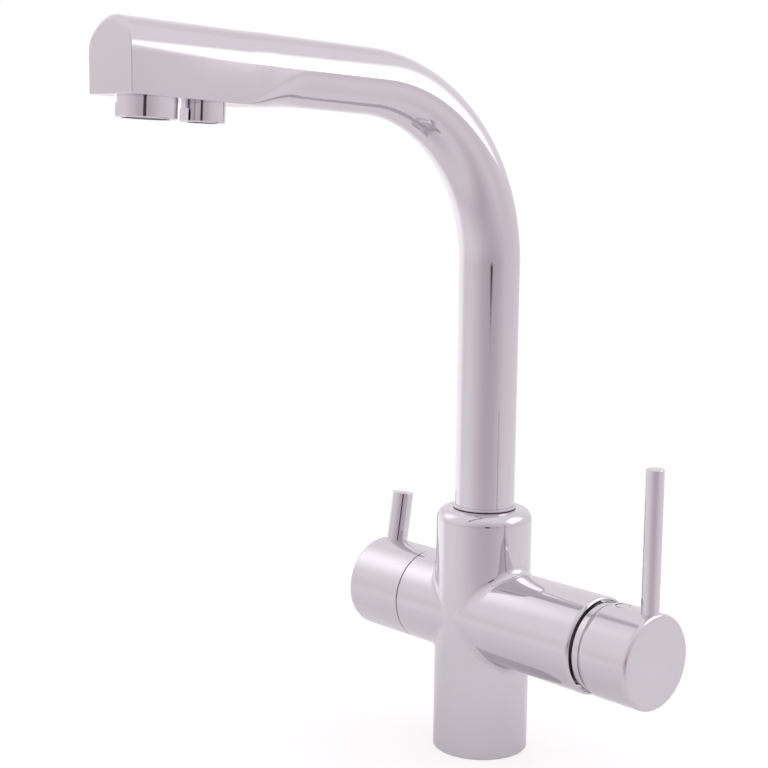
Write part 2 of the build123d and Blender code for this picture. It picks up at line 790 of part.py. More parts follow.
# ---------------------------------------------------------------- spout
def spout_line(start, arm_length):
    """Centre line: up from start, round the bend, then along the rising arm."""
    upright_run = Line((0, 0, start), (0, 0, bend_height))
    tip = ON_ARM * Pos(0, -arm_length, 0)
    arm_root = (0, arm_root_y, arm_root_z)
    middle = radians(bend_sweep / 2)
    crown = (0, -bend_radius * (1 - cos(middle)), bend_height + bend_radius * sin(middle))
    bend = ThreePointArc((0, 0, bend_height), crown, arm_root)
    return upright_run + bend + Line(arm_root, tuple(tip.position))


def pipe(radius, bore_radius, start, arm_length):
    """Round pipe along the spout's centre line."""
    section = Pos(0, 0, start) * (Circle(radius) - Circle(bore_radius))
    return sweep(section, path=spout_line(start, arm_length))


def spout_tube():
    """Bent pipe from the foot's collar to the nose."""
    return pipe(spout_radius, spout_bore_radius, collar_top, nose_start)


def spout_foot():
    """Brass foot that turns in the column's socket and carries the rings."""
    spigot_end = collar_top + joint_spigot_length
    foot = upright(foot_radius, foot_bottom, collar_bottom)
    foot += upright(collar_radius, collar_bottom, collar_top)
    foot += upright(spout_bore_radius - fixed_gap, collar_top, spigot_end)
    foot -= upright(spout_bore_radius - foot_spigot_wall, foot_core_top, spigot_end)
    foot -= upright(spigot_diameter / 2 + running_gap, foot_bottom, filtered_tube_start)
    foot -= upright(filtered_tube_diameter / 2 + fixed_gap, filtered_tube_start, foot_core_top)
    for x, y in spread(foot_port_radius, even_angles(foot_port_count, foot_port_first_angle)):
        foot -= upright(foot_port_diameter / 2, foot_bottom, foot_core_top, x, y)
    grooves = [(foot_bottom + offset, ring_groove_width) for offset in ring_groove_offsets]
    grooves.append((foot_bottom + keeper_groove_offset, keeper_groove_width))
    grooves.append((collar_bottom - slide_ring_length - slide_ring_lip,
                    slide_ring_length + slide_ring_lip))
    for low, width in grooves:
        foot -= ring(foot_radius + cut_overrun, groove_radius, low, low + width)
    return foot


def spout_rings():
    """Two O-rings of the foot, squeezed square in their grooves."""
    rings = [ring(foot_radius + running_gap / 2, groove_radius + fixed_gap,
                  foot_bottom + offset + fixed_gap,
                  foot_bottom + offset + ring_groove_width - fixed_gap)
             for offset in ring_groove_offsets]
    return Compound(children=rings)


def slide_ring():
    """Plastic ring under the collar; its lip is the thin dark line above the column."""
    lip = foot_radius + slide_ring_lip_width
    low = collar_bottom - slide_ring_length - slide_ring_lip + fixed_gap
    lip_low = collar_bottom - slide_ring_lip
    inner = groove_radius + fixed_gap
    return turned([(inner, low), (foot_radius, low), (foot_radius, lip_low), (lip, lip_low),
                   (lip, collar_bottom), (inner, collar_bottom)])


def spout_keeper_screw():
    """Grub screw from behind whose tip runs in the foot's groove."""
    tip_end = groove_radius + keeper_tip_gap
    shank_start = foot_radius + running_gap + fixed_gap
    shank_end = column_radius - keeper_screw_recess
    screw = upright(keeper_tip_diameter / 2, tip_end, shank_start)
    screw += upright(grub_screw_diameter / 2, shank_start, shank_end)
    screw -= socket_hexagon(grub_screw_socket, shank_end)
    return Pos(0, 0, keeper_height) * Rot(-90, 0, 0) * screw


def nose_outline(flatness):
    """Outline of the nose across the arm: 0 is the round pipe, 1 the arch with a flat foot.

    Both outlines have a foot, two sides and a top arch, so that the loft joins like to like.
    """
    def between(round_value, arch_value):
        return round_value + (arch_value - round_value) * flatness

    eighth, sixteenth = radians(45), radians(22.5)
    half_width = between(spout_radius, nose_half_width)
    top_height = between(spout_radius, nose_top_height)
    foot_x = between(spout_radius * sin(eighth), half_width)
    foot_y = between(-spout_radius * cos(eighth), -nose_depth)
    if flatness == 0:
        side_x, side_y = spout_radius * cos(sixteenth), -spout_radius * sin(sixteenth)
        foot = ThreePointArc((-foot_x, foot_y), (0, -spout_radius), (foot_x, foot_y))
        right = ThreePointArc((foot_x, foot_y), (side_x, side_y), (half_width, 0))
        left = ThreePointArc((-half_width, 0), (-side_x, side_y), (-foot_x, foot_y))
    else:
        foot = Line((-foot_x, foot_y), (foot_x, foot_y))
        right = Line((foot_x, foot_y), (half_width, 0))
        left = Line((-half_width, 0), (-foot_x, foot_y))
    top = EllipticalCenterArc((0, 0), half_width, top_height, arc_size=180)
    return make_face(Wire([foot, right, top, left]))


def across_arm(reach):
    """Plane square to the arm, X across it and Y up, at a distance along it."""
    return Plane(ON_ARM * Pos(0, -reach, 0) * Rot(90, 0, 0))


def spout_head():
    """Cast nose: round where it meets the pipe, flat sided and flat footed at the tip."""
    arch_start = nose_start + nose_transition
    arch = across_arm(arch_start) * nose_outline(1)
    head = loft([across_arm(nose_start) * nose_outline(0), arch], ruled=True)
    overrun = spout_arm_length + spout_radius - arch_start
    head += extrude(arch, overrun, dir=across_arm(arch_start).z_dir)
    head = split(head, bisect_by=Plane(origin=(0, tip_y, arm_root_z), z_dir=(0, 1, 0)))
    tip_edges = head.edges().group_by(Axis.Y)[0]
    head = fillet([edge for edge in tip_edges if edge.center().Z > arm_root_z], nose_edge_radius)
    along = Rot(90, 0, 0)
    bore_end = spout_arm_length - nose_tip_wall
    spigot_start = nose_start - joint_spigot_length
    spigot = upright(spout_bore_radius - fixed_gap, spigot_start, nose_start)
    head += ON_ARM * along * spigot
    head -= ON_ARM * along * upright(nose_bore_radius, spigot_start, bore_end)
    head -= outlet_place(mixed_outlet_reach) * upright(
        mixed_thread_diameter / 2 + fixed_gap, 0, nose_depth)
    head -= outlet_place(filtered_outlet_reach) * upright(
        filtered_thread_diameter / 2 + fixed_gap, 0, nose_depth)
    return head


# ---------------------------------------------------------------- filtered water line
def filtered_spigot():
    """Fixed spigot in the middle of the spout socket, screwed into the casting."""
    radius = spigot_diameter / 2
    spigot = ring(radius, spigot_bore / 2, spigot_bottom, spigot_top)
    groove_low = spigot_top - spigot_ring_offset - ring_groove_width
    return spigot - ring(radius + cut_overrun, radius - spigot_ring_depth, groove_low,
                         groove_low + ring_groove_width)


def spigot_ring():
    """O-ring of the spigot, squeezed square in its groove."""
    low = spigot_top - spigot_ring_offset - ring_groove_width + fixed_gap
    radius = spigot_diameter / 2
    return ring(radius + running_gap / 2, radius - spigot_ring_depth + fixed_gap, low,
                low + ring_groove_width - 2 * fixed_gap)


def filtered_tube():
    """Plastic tube that keeps the filtered water apart, all along the spout."""
    return pipe(filtered_tube_diameter / 2, filtered_tube_bore / 2, filtered_tube_start,
                connector_start + connector_socket_depth)


def filtered_connector():
    """Elbow inside the nose from the tube down to the filtered outlet."""
    start = connector_start
    end = start + connector_length
    tube_end = start + connector_socket_depth
    along = Rot(90, 0, 0)
    radius = connector_diameter / 2
    drop = -(nose_depth - filtered_thread_length)
    elbow = along * upright(radius, start, end)
    elbow += Pos(0, -filtered_outlet_reach, 0) * upright(radius, drop, 0)
    elbow -= along * upright(filtered_tube_diameter / 2 + fixed_gap, start, tube_end)
    elbow -= along * upright(filtered_tube_bore / 2, tube_end, filtered_outlet_reach)
    elbow -= Pos(0, -filtered_outlet_reach, 0) * upright(filtered_tube_bore / 2, drop, 0)
    return ON_ARM * elbow


# ---------------------------------------------------------------- outlets
def outlet_housing(diameter, drop, thread_diameter, thread_length, bore):
    """Chrome ring screwed into the nose, with two spanner flats near its rim."""
    outer, thread = diameter / 2, thread_diameter / 2
    housing = turned([
        (bore / 2, -drop), (outer - outlet_edge_chamfer, -drop),
        (outer, outlet_edge_chamfer - drop), (outer, 0), (thread, 0),
        (thread, thread_length - outlet_washer_thickness),
        (bore / 2, thread_length - outlet_washer_thickness)])
    for side in (-1, 1):
        housing -= slab(diameter, outlet_flat_depth * 2, -drop, -outlet_flat_margin,
                        y=side * outer)
    return housing


def outlet_washer(thread_diameter, thread_length, bore):
    """Flat rubber ring above the housing's thread."""
    return ring(thread_diameter / 2, bore / 2, thread_length - outlet_washer_thickness,
                thread_length)


def outlet_insert(bore, drop, rows):
    """Plastic insert: a cup whose floor is a grid of round holes in rings."""
    radius = bore / 2 - fixed_gap
    low = outlet_insert_recess - drop
    floor_top = low + grid_hole_depth
    insert = upright(radius, low, low + outlet_insert_length)
    insert -= upright(radius - outlet_insert_wall, floor_top, low + outlet_insert_length)
    row_step = (bore / 2 - grid_margin) / rows
    for row in range(1, rows + 1):
        for x, y in spread(row_step * row, even_angles(grid_holes_per_row * row)):
            insert -= upright(grid_hole_diameter / 2, low, floor_top, x, y)
    return insert


MIXED = (mixed_outlet_diameter, mixed_outlet_drop, mixed_thread_diameter,
         mixed_thread_length, mixed_outlet_bore)
FILTERED = (filtered_outlet_diameter, filtered_outlet_drop, filtered_thread_diameter,
            filtered_thread_length, filtered_outlet_bore)


PIECES = {
    "body_casting": body_casting,
    "base_gasket": base_gasket,
    "mixer_cartridge_base": cartridge_base,
    "mixer_cartridge_seals": cartridge_seals,
    "mixer_cartridge_housing": cartridge_housing,
    "mixer_fixed_disc": mixer_fixed_disc,
    "mixer_moving_disc": mixer_moving_disc,
    "mixer_disc_carrier": disc_carrier,
    "mixer_turret": mixer_turret,
    "mixer_pivot_pin": pivot_pin,
    "mixer_stem": mixer_stem,
    "mixer_retaining_nut": retaining_nut,
    "mixer_handle": mixer_handle,
    "mixer_lever": mixer_lever,
    "mixer_handle_screw": handle_screw,
    "mixer_index_plug": index_plug,
    "filter_valve_body": filter_valve_body,
    "filter_valve_ring": filter_valve_ring,
    "filter_valve_seal": filter_valve_seal,
    "filter_fixed_disc": filter_fixed_disc,
    "filter_moving_disc": filter_moving_disc,
    "filter_spindle": filter_spindle,
    "filter_handle": filter_handle,
    "filter_lever": filter_lever,
    "filter_handle_screw": filter_handle_screw,
    "spout_tube": spout_tube,
    "spout_foot": spout_foot,
    "spout_rings": spout_rings,
    "spout_slide_ring": slide_ring,
    "spout_keeper_screw": spout_keeper_screw,
    "spout_head": spout_head,
    "filtered_spigot": filtered_spigot,
    "filtered_spigot_ring": spigot_ring,
    "filtered_tube": filtered_tube,
    "filtered_connector": filtered_connector,
    "mixed_outlet_housing": lambda: outlet_place(mixed_outlet_reach) * outlet_housing(*MIXED),
    "mixed_outlet_washer": lambda: outlet_place(mixed_outlet_reach) * outlet_washer(*MIXED[2:]),
    "mixed_outlet_insert": lambda: outlet_place(mixed_outlet_reach) * outlet_insert(
        mixed_outlet_bore, mixed_outlet_drop, mixed_grid_rows),
    "filtered_outlet_housing": lambda: outlet_place(filtered_outlet_reach)
    * outlet_housing(*FILTERED),
    "filtered_outlet_washer": lambda: outlet_place(filtered_outlet_reach)
    * outlet_washer(*FILTERED[2:]),
    "filtered_outlet_insert": lambda: outlet_place(filtered_outlet_reach) * outlet_insert(
        filtered_outlet_bore, filtered_outlet_drop, filtered_grid_rows),
}


def main():
    """Write one file for each piece."""
    os.makedirs("parts", exist_ok=True)
    for name, make in PIECES.items():
        export_step(make(), f"parts/{name}.step")


main()
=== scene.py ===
"""Looks of the three way filtered water tap: smooth skins, finishes, light, floor and camera.

Runs in Blender 4.5 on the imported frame. Metres, +Z up, -Y the way the spout points.
"""

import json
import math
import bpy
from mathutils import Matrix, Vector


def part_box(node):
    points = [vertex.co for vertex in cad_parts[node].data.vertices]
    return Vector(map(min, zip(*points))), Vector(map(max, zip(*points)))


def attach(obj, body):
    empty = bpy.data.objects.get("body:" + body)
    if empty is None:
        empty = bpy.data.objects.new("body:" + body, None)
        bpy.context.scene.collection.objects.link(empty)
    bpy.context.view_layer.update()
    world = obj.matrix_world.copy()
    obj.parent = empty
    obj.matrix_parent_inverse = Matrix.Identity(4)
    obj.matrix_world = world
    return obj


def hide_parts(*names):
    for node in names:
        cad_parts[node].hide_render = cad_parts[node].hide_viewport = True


bl_info = {
    "name": "Three Way Filtered Water Tap",
    "version": (1, 0, 0),
    "blender": (4, 5, 0),
    "location": "View3D > Sidebar > Tap",
    "description": "Builds the skins, finishes and studio of a three way filtered water tap",
    "category": "Object",
}

from types import SimpleNamespace

import bpy
import numpy as np
from bpy.props import FloatProperty, FloatVectorProperty, PointerProperty
from bpy.types import Operator, Panel, PropertyGroup
from mathutils import Matrix

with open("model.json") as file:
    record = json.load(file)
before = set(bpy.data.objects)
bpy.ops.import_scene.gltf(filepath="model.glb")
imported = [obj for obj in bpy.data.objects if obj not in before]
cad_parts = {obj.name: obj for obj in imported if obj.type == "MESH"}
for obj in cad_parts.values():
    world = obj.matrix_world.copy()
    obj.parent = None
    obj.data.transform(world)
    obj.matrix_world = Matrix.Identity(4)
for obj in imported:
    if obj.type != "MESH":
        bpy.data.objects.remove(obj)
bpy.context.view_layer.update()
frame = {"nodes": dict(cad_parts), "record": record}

FINISH_NAME = "tap {}"
MM = 0.001


# ---- settings
def colour(name, description, value):
    """A colour setting in linear light."""
    return FloatVectorProperty(name=name, description=description, default=value, size=3,
                               subtype="COLOR", min=0.0, max=1.0)


def length(name, description, millimetres):
    """A length setting, given here in millimetres."""
    return FloatProperty(name=name, description=description, default=millimetres * MM,
                         unit="LENGTH", subtype="DISTANCE", precision=4)


def angle(name, description, degrees):
    """An angle setting, given here in degrees."""
    return FloatProperty(name=name, description=description, default=math.radians(degrees),
                         unit="ROTATION", subtype="ANGLE")


def number(name, description, value, top=1.0):
    """A plain number setting from 0 to top."""
    return FloatProperty(name=name, description=description, default=value, min=0.0, max=top,
                         subtype="FACTOR")


def end_of(node, side, axis):
    """Where a CAD piece ends in millimetres: side 0 is its low corner and 1 its high one."""
    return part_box(node)[side][axis] / MM


class TapBody(PropertyGroup):
    """Sizes of the cast body."""
    column_radius: length("Column radius", "Radius of the column", end_of("body_casting", 1, 1))
    column_top: length("Column top", "Height of the column's top", end_of("body_casting", 1, 2))
    shoulder: length("Shoulder", "Rounding of the column's top edge", 5.6)
    foot_edge: length("Foot edge", "Chamfer of the column's foot", 0.5)
    axis_height: length("Cross axis", "Height of both arms' axis", 66.5)
    arm_radius: length("Arm radius", "Radius of both arms", 22.3)
    arm_fillet: length("Arm fillet", "Cast corner of column and arms, over and under them", 4.0)
    side_fillet: length("Side fillet", "Cast corner of column and arms, at their sides", 11.0)
    arm_window: length("Arm window", "Half the height of the column wall made with an arm", 30.0)
    arm_end: length("Mixer arm end", "Reach of the mixer arm", end_of("body_casting", 1, 0))
    arm_edge: length("Mixer arm edge", "Rounding of the mixer arm's lip", 1.6)
    mouth_floor: length("Mouth floor", "Reach of the ledge inside the mixer arm's mouth", 68.7)
    filter_arm_end: length("Filter arm end", "Reach of the filter arm",
                           -end_of("body_casting", 0, 0))
    socket_radius: length("Socket radius", "Radius of the spout's socket", 14.6)
    socket_floor: length("Socket floor", "Height of the socket's ledge", 87.0)
    keeper_height: length("Keeper height", "Height of the screw hole in the back", 102.6)
    keeper_hole: length("Keeper hole", "Radius of the screw hole in the back", 2.55)
    gasket_radius: length("Gasket radius", "Outer radius of the foot gasket", 21.3)
    inlet_circle: length("Inlet circle", "Radius of the circle that the inlets lie on", 11.2)
    inlet_hole: length("Inlet hole", "Radius of an inlet", 4.5)


class TapSpout(PropertyGroup):
    """Sizes of the pipe, the nose and the two outlets."""
    pipe_radius: length("Pipe radius", "Radius of the pipe", end_of("spout_tube", 1, 0))
    pipe_wall: length("Pipe wall", "Thickness of the pipe's wall", 1.5)
    pipe_foot: length("Pipe foot", "Height of the pipe's lower end", end_of("spout_tube", 0, 2))
    bend_height: length("Bend height", "Height at which the bend starts", 231.4)
    bend_radius: length("Bend radius", "Radius of the bend's middle line", 81.2)
    arm_rise: angle("Arm rise", "Slope of the arm", 2.9)
    pipe_end: length("Pipe end", "Where the nose's skin starts along the arm", 36.0)
    arm_length: length("Arm length", "Length of the arm to the tip", 127.1)
    nose_start: length("Nose start", "Where the nose leaves the round along the arm", 56.6)
    nose_half_width: length("Nose half width", "Half the nose's width", 14.6)
    nose_height: length("Nose height", "Height of the nose's arch over the arm's axis", 13.7)
    nose_depth: length("Nose depth", "Depth of the nose's foot under the arm's axis", 15.6)
    nose_corner: length("Nose corner", "Rounding between the nose's sides and foot", 0.5)
    tip_edge: length("Tip edge", "Rounding of the tip's side and foot edges", 0.35)
    tip_top_edge: length("Tip top edge", "Rounding of the tip's top edge", 2.8)
    outlet_flat: length("Outlet flat", "Depth of the spanner flats", 0.5)
    mixed_reach: length("Mixed outlet", "Place of the mixed water outlet along the arm", 110.3)
    mixed_radius: length("Mixed outlet radius", "Radius of the mixed water outlet", 12.0)
    mixed_drop: length("Mixed outlet drop", "How far the mixed water outlet stands down", 8.0)
    mixed_bore: length("Mixed outlet bore", "Radius of the mixed water outlet's bore", 9.3)
    filtered_reach: length("Filtered outlet", "Place of the filtered water outlet", 84.3)
    filtered_radius: length("Filtered outlet radius", "Radius of the filtered water outlet", 9.1)
    filtered_drop: length("Filtered outlet drop", "How far the filtered outlet stands down", 7.8)
    filtered_bore: length("Filtered outlet bore", "Radius of the filtered outlet's bore", 6.1)


class TapHandles(PropertyGroup):
    """Sizes of both handles and levers."""
    axis_height: length("Cross axis", "Height of the handles' axis", 66.5)
    handle_start: length("Handle start", "Reach of the mixer handle's rear", 74.0)
    handle_end: length("Handle end", "Reach of the mixer handle's end",
                       end_of("mixer_handle", 1, 0))
    handle_radius: length("Handle radius", "Radius of the mixer handle",
                          end_of("mixer_handle", 1, 1))
    handle_rear_radius: length("Handle rear radius", "Radius of the mixer handle's rear", 20.2)
    handle_taper: length("Handle taper", "Length of the mixer handle's narrowed rear", 6.5)
    handle_edge: length("Handle edge", "Rounding of the mixer handle's end", 1.8)
    nut_front: length("Nut front", "Reach of the cartridge nut's front", 68.6)
    nut_rear: length("Nut rear", "Reach of the cartridge nut's rear",
                     end_of("mixer_retaining_nut", 0, 0))
    nut_radius: length("Nut radius", "Radius of the cartridge nut",
                       end_of("mixer_retaining_nut", 1, 1))
    nut_bore: length("Nut bore", "Radius of the cartridge nut's bore", 12.2)
    plug_reach: length("Plug reach", "Place of the index plug on the mixer handle", 85.5)
    plug_hole: length("Plug hole", "Radius of the hole round the index plug", 3.3)
    lever_reach: length("Lever reach", "Place of the mixer lever", 100.4)
    lever_radius: length("Lever radius", "Radius of the mixer lever", end_of("mixer_lever", 1, 1))
    lever_top: length("Lever top", "Height of the mixer lever's top", end_of("mixer_lever", 1, 2))
    lever_edge: length("Lever edge", "Rounding of both levers' top edges", 0.6)
    filter_handle_start: length("Filter handle start", "Reach of the filter handle's rear",
                                -end_of("filter_handle", 1, 0))
    filter_handle_end: length("Filter handle end", "Reach of the filter handle's end",
                              -end_of("filter_handle", 0, 0))
    filter_handle_radius: length("Filter handle radius", "Radius of the filter handle",
                                 end_of("filter_handle", 1, 1))
    filter_handle_edge: length("Filter handle edge", "Rounding of the filter handle's end", 2.4)
    filter_screw_reach: length("Filter screw", "Place of the screw under the filter handle", 56.0)
    filter_lever_reach: length("Filter lever reach", "Place of the filter lever", 64.55)
    filter_lever_radius: length("Filter lever radius", "Radius of the filter lever", 5.25)
    filter_lever_top: length("Filter lever top", "Top of the filter lever over the axis", 46.3)
    filter_lever_lean: angle("Filter lever lean", "How far the filter lever leans back", 9.0)


class TapFinishes(PropertyGroup):
    """Colours and roughness of the tap's finishes."""
    chrome: colour("Chrome", "Colour of the polished chrome", (0.66, 0.64, 0.675))
    chrome_roughness: number("Chrome roughness", "Roughness of the polished chrome", 0.06)
    satin_roughness: number("Satin roughness", "Roughness of the softly polished handles", 0.14)
    brass: colour("Brass", "Colour of the machined brass inside", (0.72, 0.50, 0.22))
    steel: colour("Steel", "Colour of the machined screws and pins", (0.56, 0.56, 0.58))
    ceramic: colour("Ceramic", "Colour of the lapped discs", (0.82, 0.81, 0.78))
    white_plastic: colour("White plastic", "Colour of the cartridge housing", (0.78, 0.78, 0.76))
    grey_plastic: colour("Grey plastic", "Colour of inserts and carrier", (0.28, 0.29, 0.31))
    dark_plastic: colour("Dark plastic", "Colour of the slide ring", (0.035, 0.035, 0.04))
    black_rubber: colour("Black rubber", "Colour of seals and foot gasket", (0.022, 0.022, 0.023))


class TapStudio(PropertyGroup):
    """Camera, light and floor around the tap."""
    camera_x: length("Camera X", "Camera's place along the cross axis", 517.2)
    camera_y: length("Camera Y", "Camera's place along the spout", -532.73)
    camera_z: length("Camera Z", "Camera's height over the worktop", 285.22)
    camera_yaw: angle("Camera yaw", "Turn about Z, 0 looks along +Y", -47.8801)
    camera_pitch: angle("Camera pitch", "How far the camera looks down", 8.4537)
    camera_roll: angle("Camera roll", "Tilt of the picture", 0.6746)
    camera_lens: FloatProperty(name="Camera lens", description="Focal length on 36 mm of film",
                               default=75.0, unit="CAMERA", min=10.0)
    tent_level: number("Tent level", "Radiance of the light tent's walls", 0.955, 4.0)
    tent_colour: colour("Tent colour", "Tone of the light tent's walls", (1.0, 0.948, 0.978))
    opening_level: number("Opening level", "Radiance of the tent's front opening", 0.66, 4.0)
    opening_colour: colour("Opening colour", "Tone of the tent's opening", (1.0, 0.857, 0.93))
    lamp_level: number("Lamp level", "Radiance of the lamp behind the tap", 1.25, 10.0)
    side_lamp_level: number("Side lamp level", "Radiance of the lamp at the left", 0.55, 10.0)
    floor: colour("Floor", "Colour of the floor", (0.8, 0.775, 0.79))
    floor_radius: length("Floor radius", "Radius of the floor round the tap", 400.0)
    floor_glow: number("Floor glow", "How white the camera sees the floor", 1.32, 2.0)


def sizes_of(settings):
    """A group's lengths in millimetres and its angles in radians, by name."""
    units = {name: made.keywords["unit"] for name, made in settings.__annotations__.items()}
    return SimpleNamespace(**{name: getattr(settings, name) / (MM if unit == "LENGTH" else 1.0)
                              for name, unit in units.items()})


# ---- surfaces, in millimetres
# A patch is a grid of points with the ways they face, or the one way they all face. A seat is an
# origin with three unit vectors: the way of angle 0, the way of a quarter turn, and the axis.
X, Y, Z = np.eye(3)


def ring(turns):
    """The ways (cos a, sin a, 0) at angles in radians."""
    return np.stack([np.cos(turns), np.sin(turns), np.zeros_like(turns)], axis=-1)


def between(first, last, share):
    """Straight blend from first to last."""
    return first + share * (last - first)


def eased(value, low, high):
    """Smooth step from 0 at low to 1 at high."""
    share = np.clip((value - low) / (high - low), 0.0, 1.0)
    return share * share * (3.0 - 2.0 * share)


def degrees_from(first, last):
    """Angles from first to last in the steps that all curved walls share."""
    return np.arange(first, last + 0.1, 1.5)


def seat_on(origin, zero, along):
    """Seat from an origin, the way of angle 0 and the axis."""
    zero, along = np.asarray(zero, float), np.asarray(along, float)
    return np.asarray(origin, float), np.stack([zero, np.cross(along, zero), along])


def carried(seat, points, ways):
    """Points and ways given along a seat's three vectors, turned into places in the scene."""
    origin, axes = seat
    return origin + points @ axes, ways @ axes


def arc_run(centre, radius, first, last, steps=8):
    """Arc of an outline, centre + radius (cos, sin) of degrees; it faces away from the centre."""
    turn = np.radians(np.linspace(first, last, steps + 1))
    ways = np.column_stack([np.cos(turn), np.sin(turn)])
    return np.asarray(centre) + radius * ways, ways


def runs_of(corners, steps=8):
    """Straight runs and rounded corners of an outline of (radius, height) corners.

    A third value is the corner's rounding, which touches both neighbours rounding * tan(half the
    turn) from it. The outline goes up its outer side, so each run faces the way to its right.
    """
    corners = np.array([(*corner, 0.0)[:3] for corner in corners], float)
    places, roundings = corners[:, :2], corners[:, 2]
    ways = np.diff(places, axis=0)
    ways = ways / np.linalg.norm(ways, axis=1, keepdims=True)
    faces = np.column_stack([ways[:, 1], -ways[:, 0]])
    bend = np.arctan2(ways[:-1, 0] * ways[1:, 1] - ways[:-1, 1] * ways[1:, 0],
                      (ways[:-1] * ways[1:]).sum(axis=1))
    cuts = np.zeros(len(corners))
    cuts[1:-1] = roundings[1:-1] * np.tan(np.abs(bend) / 2)
    runs = []
    for side, (way, face) in enumerate(zip(ways, faces)):
        ends = np.stack([places[side] + way * cuts[side], places[side + 1] - way * cuts[side + 1]])
        runs.append((ends, np.stack([face, face])))
        if cuts[side + 1] > 0:
            radius = roundings[side + 1] * np.sign(bend[side])
            turn = bend[side] * np.linspace(0.0, 1.0, steps + 1)
            facing_ways = np.column_stack([face[0] * np.cos(turn) - face[1] * np.sin(turn),
                                           face[0] * np.sin(turn) + face[1] * np.cos(turn)])
            runs.append((ends[1] + radius * (facing_ways - face), facing_ways))
    return runs


def turned(seat, runs, turns=None):
    """Patches of outline runs carried round an axis: radius (cos a, sin a) and the height."""
    around = ring(np.radians(np.linspace(0.0, 360.0, 121) if turns is None else turns))
    return [carried(seat, *(values[:, None, :1] * around + values[:, None, 1:] * Z
                            for values in run)) for run in runs]


def on_cylinder(seat, radius):
    """Maps (angle in degrees, height) to the wall of a cylinder, facing out."""
    def place(turn, height):
        turn, height = np.broadcast_arrays(np.radians(turn), height)
        return carried(seat, radius * ring(turn) + height[..., None] * Z, ring(turn))
    return place


def on_level(level):
    """Maps (angle in degrees, radius) to a level face that looks down."""
    def place(turn, radius):
        return radius[..., None] * ring(np.radians(turn)) + level * Z, -Z
    return place


def edge_round(turns, heights):
    """The four edges of a rectangle in two coordinates, once round and closed."""
    across = np.concatenate([turns, np.full(len(heights) - 1, turns[-1]), turns[-2::-1],
                             np.full(len(heights) - 1, turns[0])])
    upward = np.concatenate([np.full(len(turns), heights[0]), heights[1:],
                             np.full(len(turns) - 1, heights[-1]), heights[-2::-1]])
    return across, upward


def blended(place, inner, outer, steps=6):
    """Patch between two loops of a wall, by straight blends in the wall's own two coordinates."""
    share = np.linspace(0.0, 1.0, steps + 1)[:, None]
    return place(*(between(low, high, share) for low, high in zip(inner, outer)))


def holed_band(seat, radius, hole, floor, half_window, half_height, rows):
    """A band of a cylinder's wall with a blind round hole in it, as patches.

    hole is its angle, height and radius, and floor is how far its flat end lies from the axis.
    The rectangle round it is half_window degrees and half_height to each side of its middle. A
    point of its edge at angle a is radius cos a to the side, radius sin a up, and so far out as
    the wall is.
    """
    turn, height, size = hole
    heights = np.linspace(height - half_height, height + half_height, rows)
    window = degrees_from(turn - half_window, turn + half_window)
    turns = degrees_from(turn + half_window, turn + 360.0 - half_window)
    outer = edge_round(window, heights)
    angle = np.arctan2((outer[1] - height) / np.ptp(heights), (outer[0] - turn) / np.ptp(window))
    aside = size * np.cos(angle)
    inner = (turn + np.degrees(np.arcsin(aside / radius)), height + size * np.sin(angle))
    wall = on_cylinder(seat, radius)
    outward = ring(np.radians(turn))
    around = ring(angle) @ np.stack([np.cross(Z, outward), Z, outward])
    rim = height * Z + np.sqrt(radius ** 2 - aside ** 2)[:, None] * outward + size * around
    end = height * Z + floor * outward + 0 * around
    deep = end + size * around
    return [wall(turns[None, :], heights[:, None]), blended(wall, inner, outer),
            carried(seat, np.stack([rim, deep]), -around),
            carried(seat, np.stack([deep, end]), outward)]


def sewn(name, patches):
    """One closed mesh from patches.

    Each square of a grid becomes two triangles. Points within a thousandth of a millimetre are
    one vertex, triangles that shrink to a line are dropped, and each of the others is wound the
    way its points face. Their ways are kept as the mesh's own normals.
    """
    points = np.concatenate([place.reshape(-1, 3) for place, way in patches])
    ways = np.concatenate([np.broadcast_to(way, place.shape).reshape(-1, 3)
                           for place, way in patches])
    ways = ways / np.linalg.norm(ways, axis=1, keepdims=True)
    triangles, start = [], 0
    for place, way in patches:
        index = start + np.arange(place.shape[0] * place.shape[1]).reshape(place.shape[:2])
        a, b, c, d = index[:-1, :-1], index[1:, :-1], index[1:, 1:], index[:-1, 1:]
        triangles += [np.stack([a, b, c], axis=-1).reshape(-1, 3),
                      np.stack([a, c, d], axis=-1).reshape(-1, 3)]
        start += index.size
    triangles = np.concatenate(triangles)
    grid = np.floor(points * 1000.0 + 0.3137).astype(np.int64)
    first, merged = np.unique(grid, axis=0, return_index=True, return_inverse=True)[1:]
    joined = merged.reshape(-1)[triangles]
    whole = (joined != np.roll(joined, 1, axis=1)).all(axis=1)
    triangles, joined = triangles[whole], joined[whole]
    corners = points[triangles]
    lean = np.cross(corners[:, 1] - corners[:, 0], corners[:, 2] - corners[:, 0])
    wrong = (lean * ways[triangles].sum(axis=1)).sum(axis=1) < 0
    triangles[wrong], joined[wrong] = triangles[wrong][:, ::-1], joined[wrong][:, ::-1]
    mesh = bpy.data.meshes.new(name)
    mesh.vertices.add(len(first))
    mesh.vertices.foreach_set("co", (points[first] * MM).ravel())
    mesh.loops.add(joined.size)
    mesh.loops.foreach_set("vertex_index", joined.ravel())
    mesh.polygons.add(len(joined))
    mesh.polygons.foreach_set("loop_start", np.arange(0, joined.size, 3))
    mesh.update(calc_edges=True)
    mesh.normals_split_custom_set(ways[triangles].reshape(-1, 3))
    return mesh


def add_object(name, data):
    """Adds an object to the scene; returns it."""
    added = bpy.data.objects.new(name, data)
    bpy.context.collection.objects.link(added)
    return added


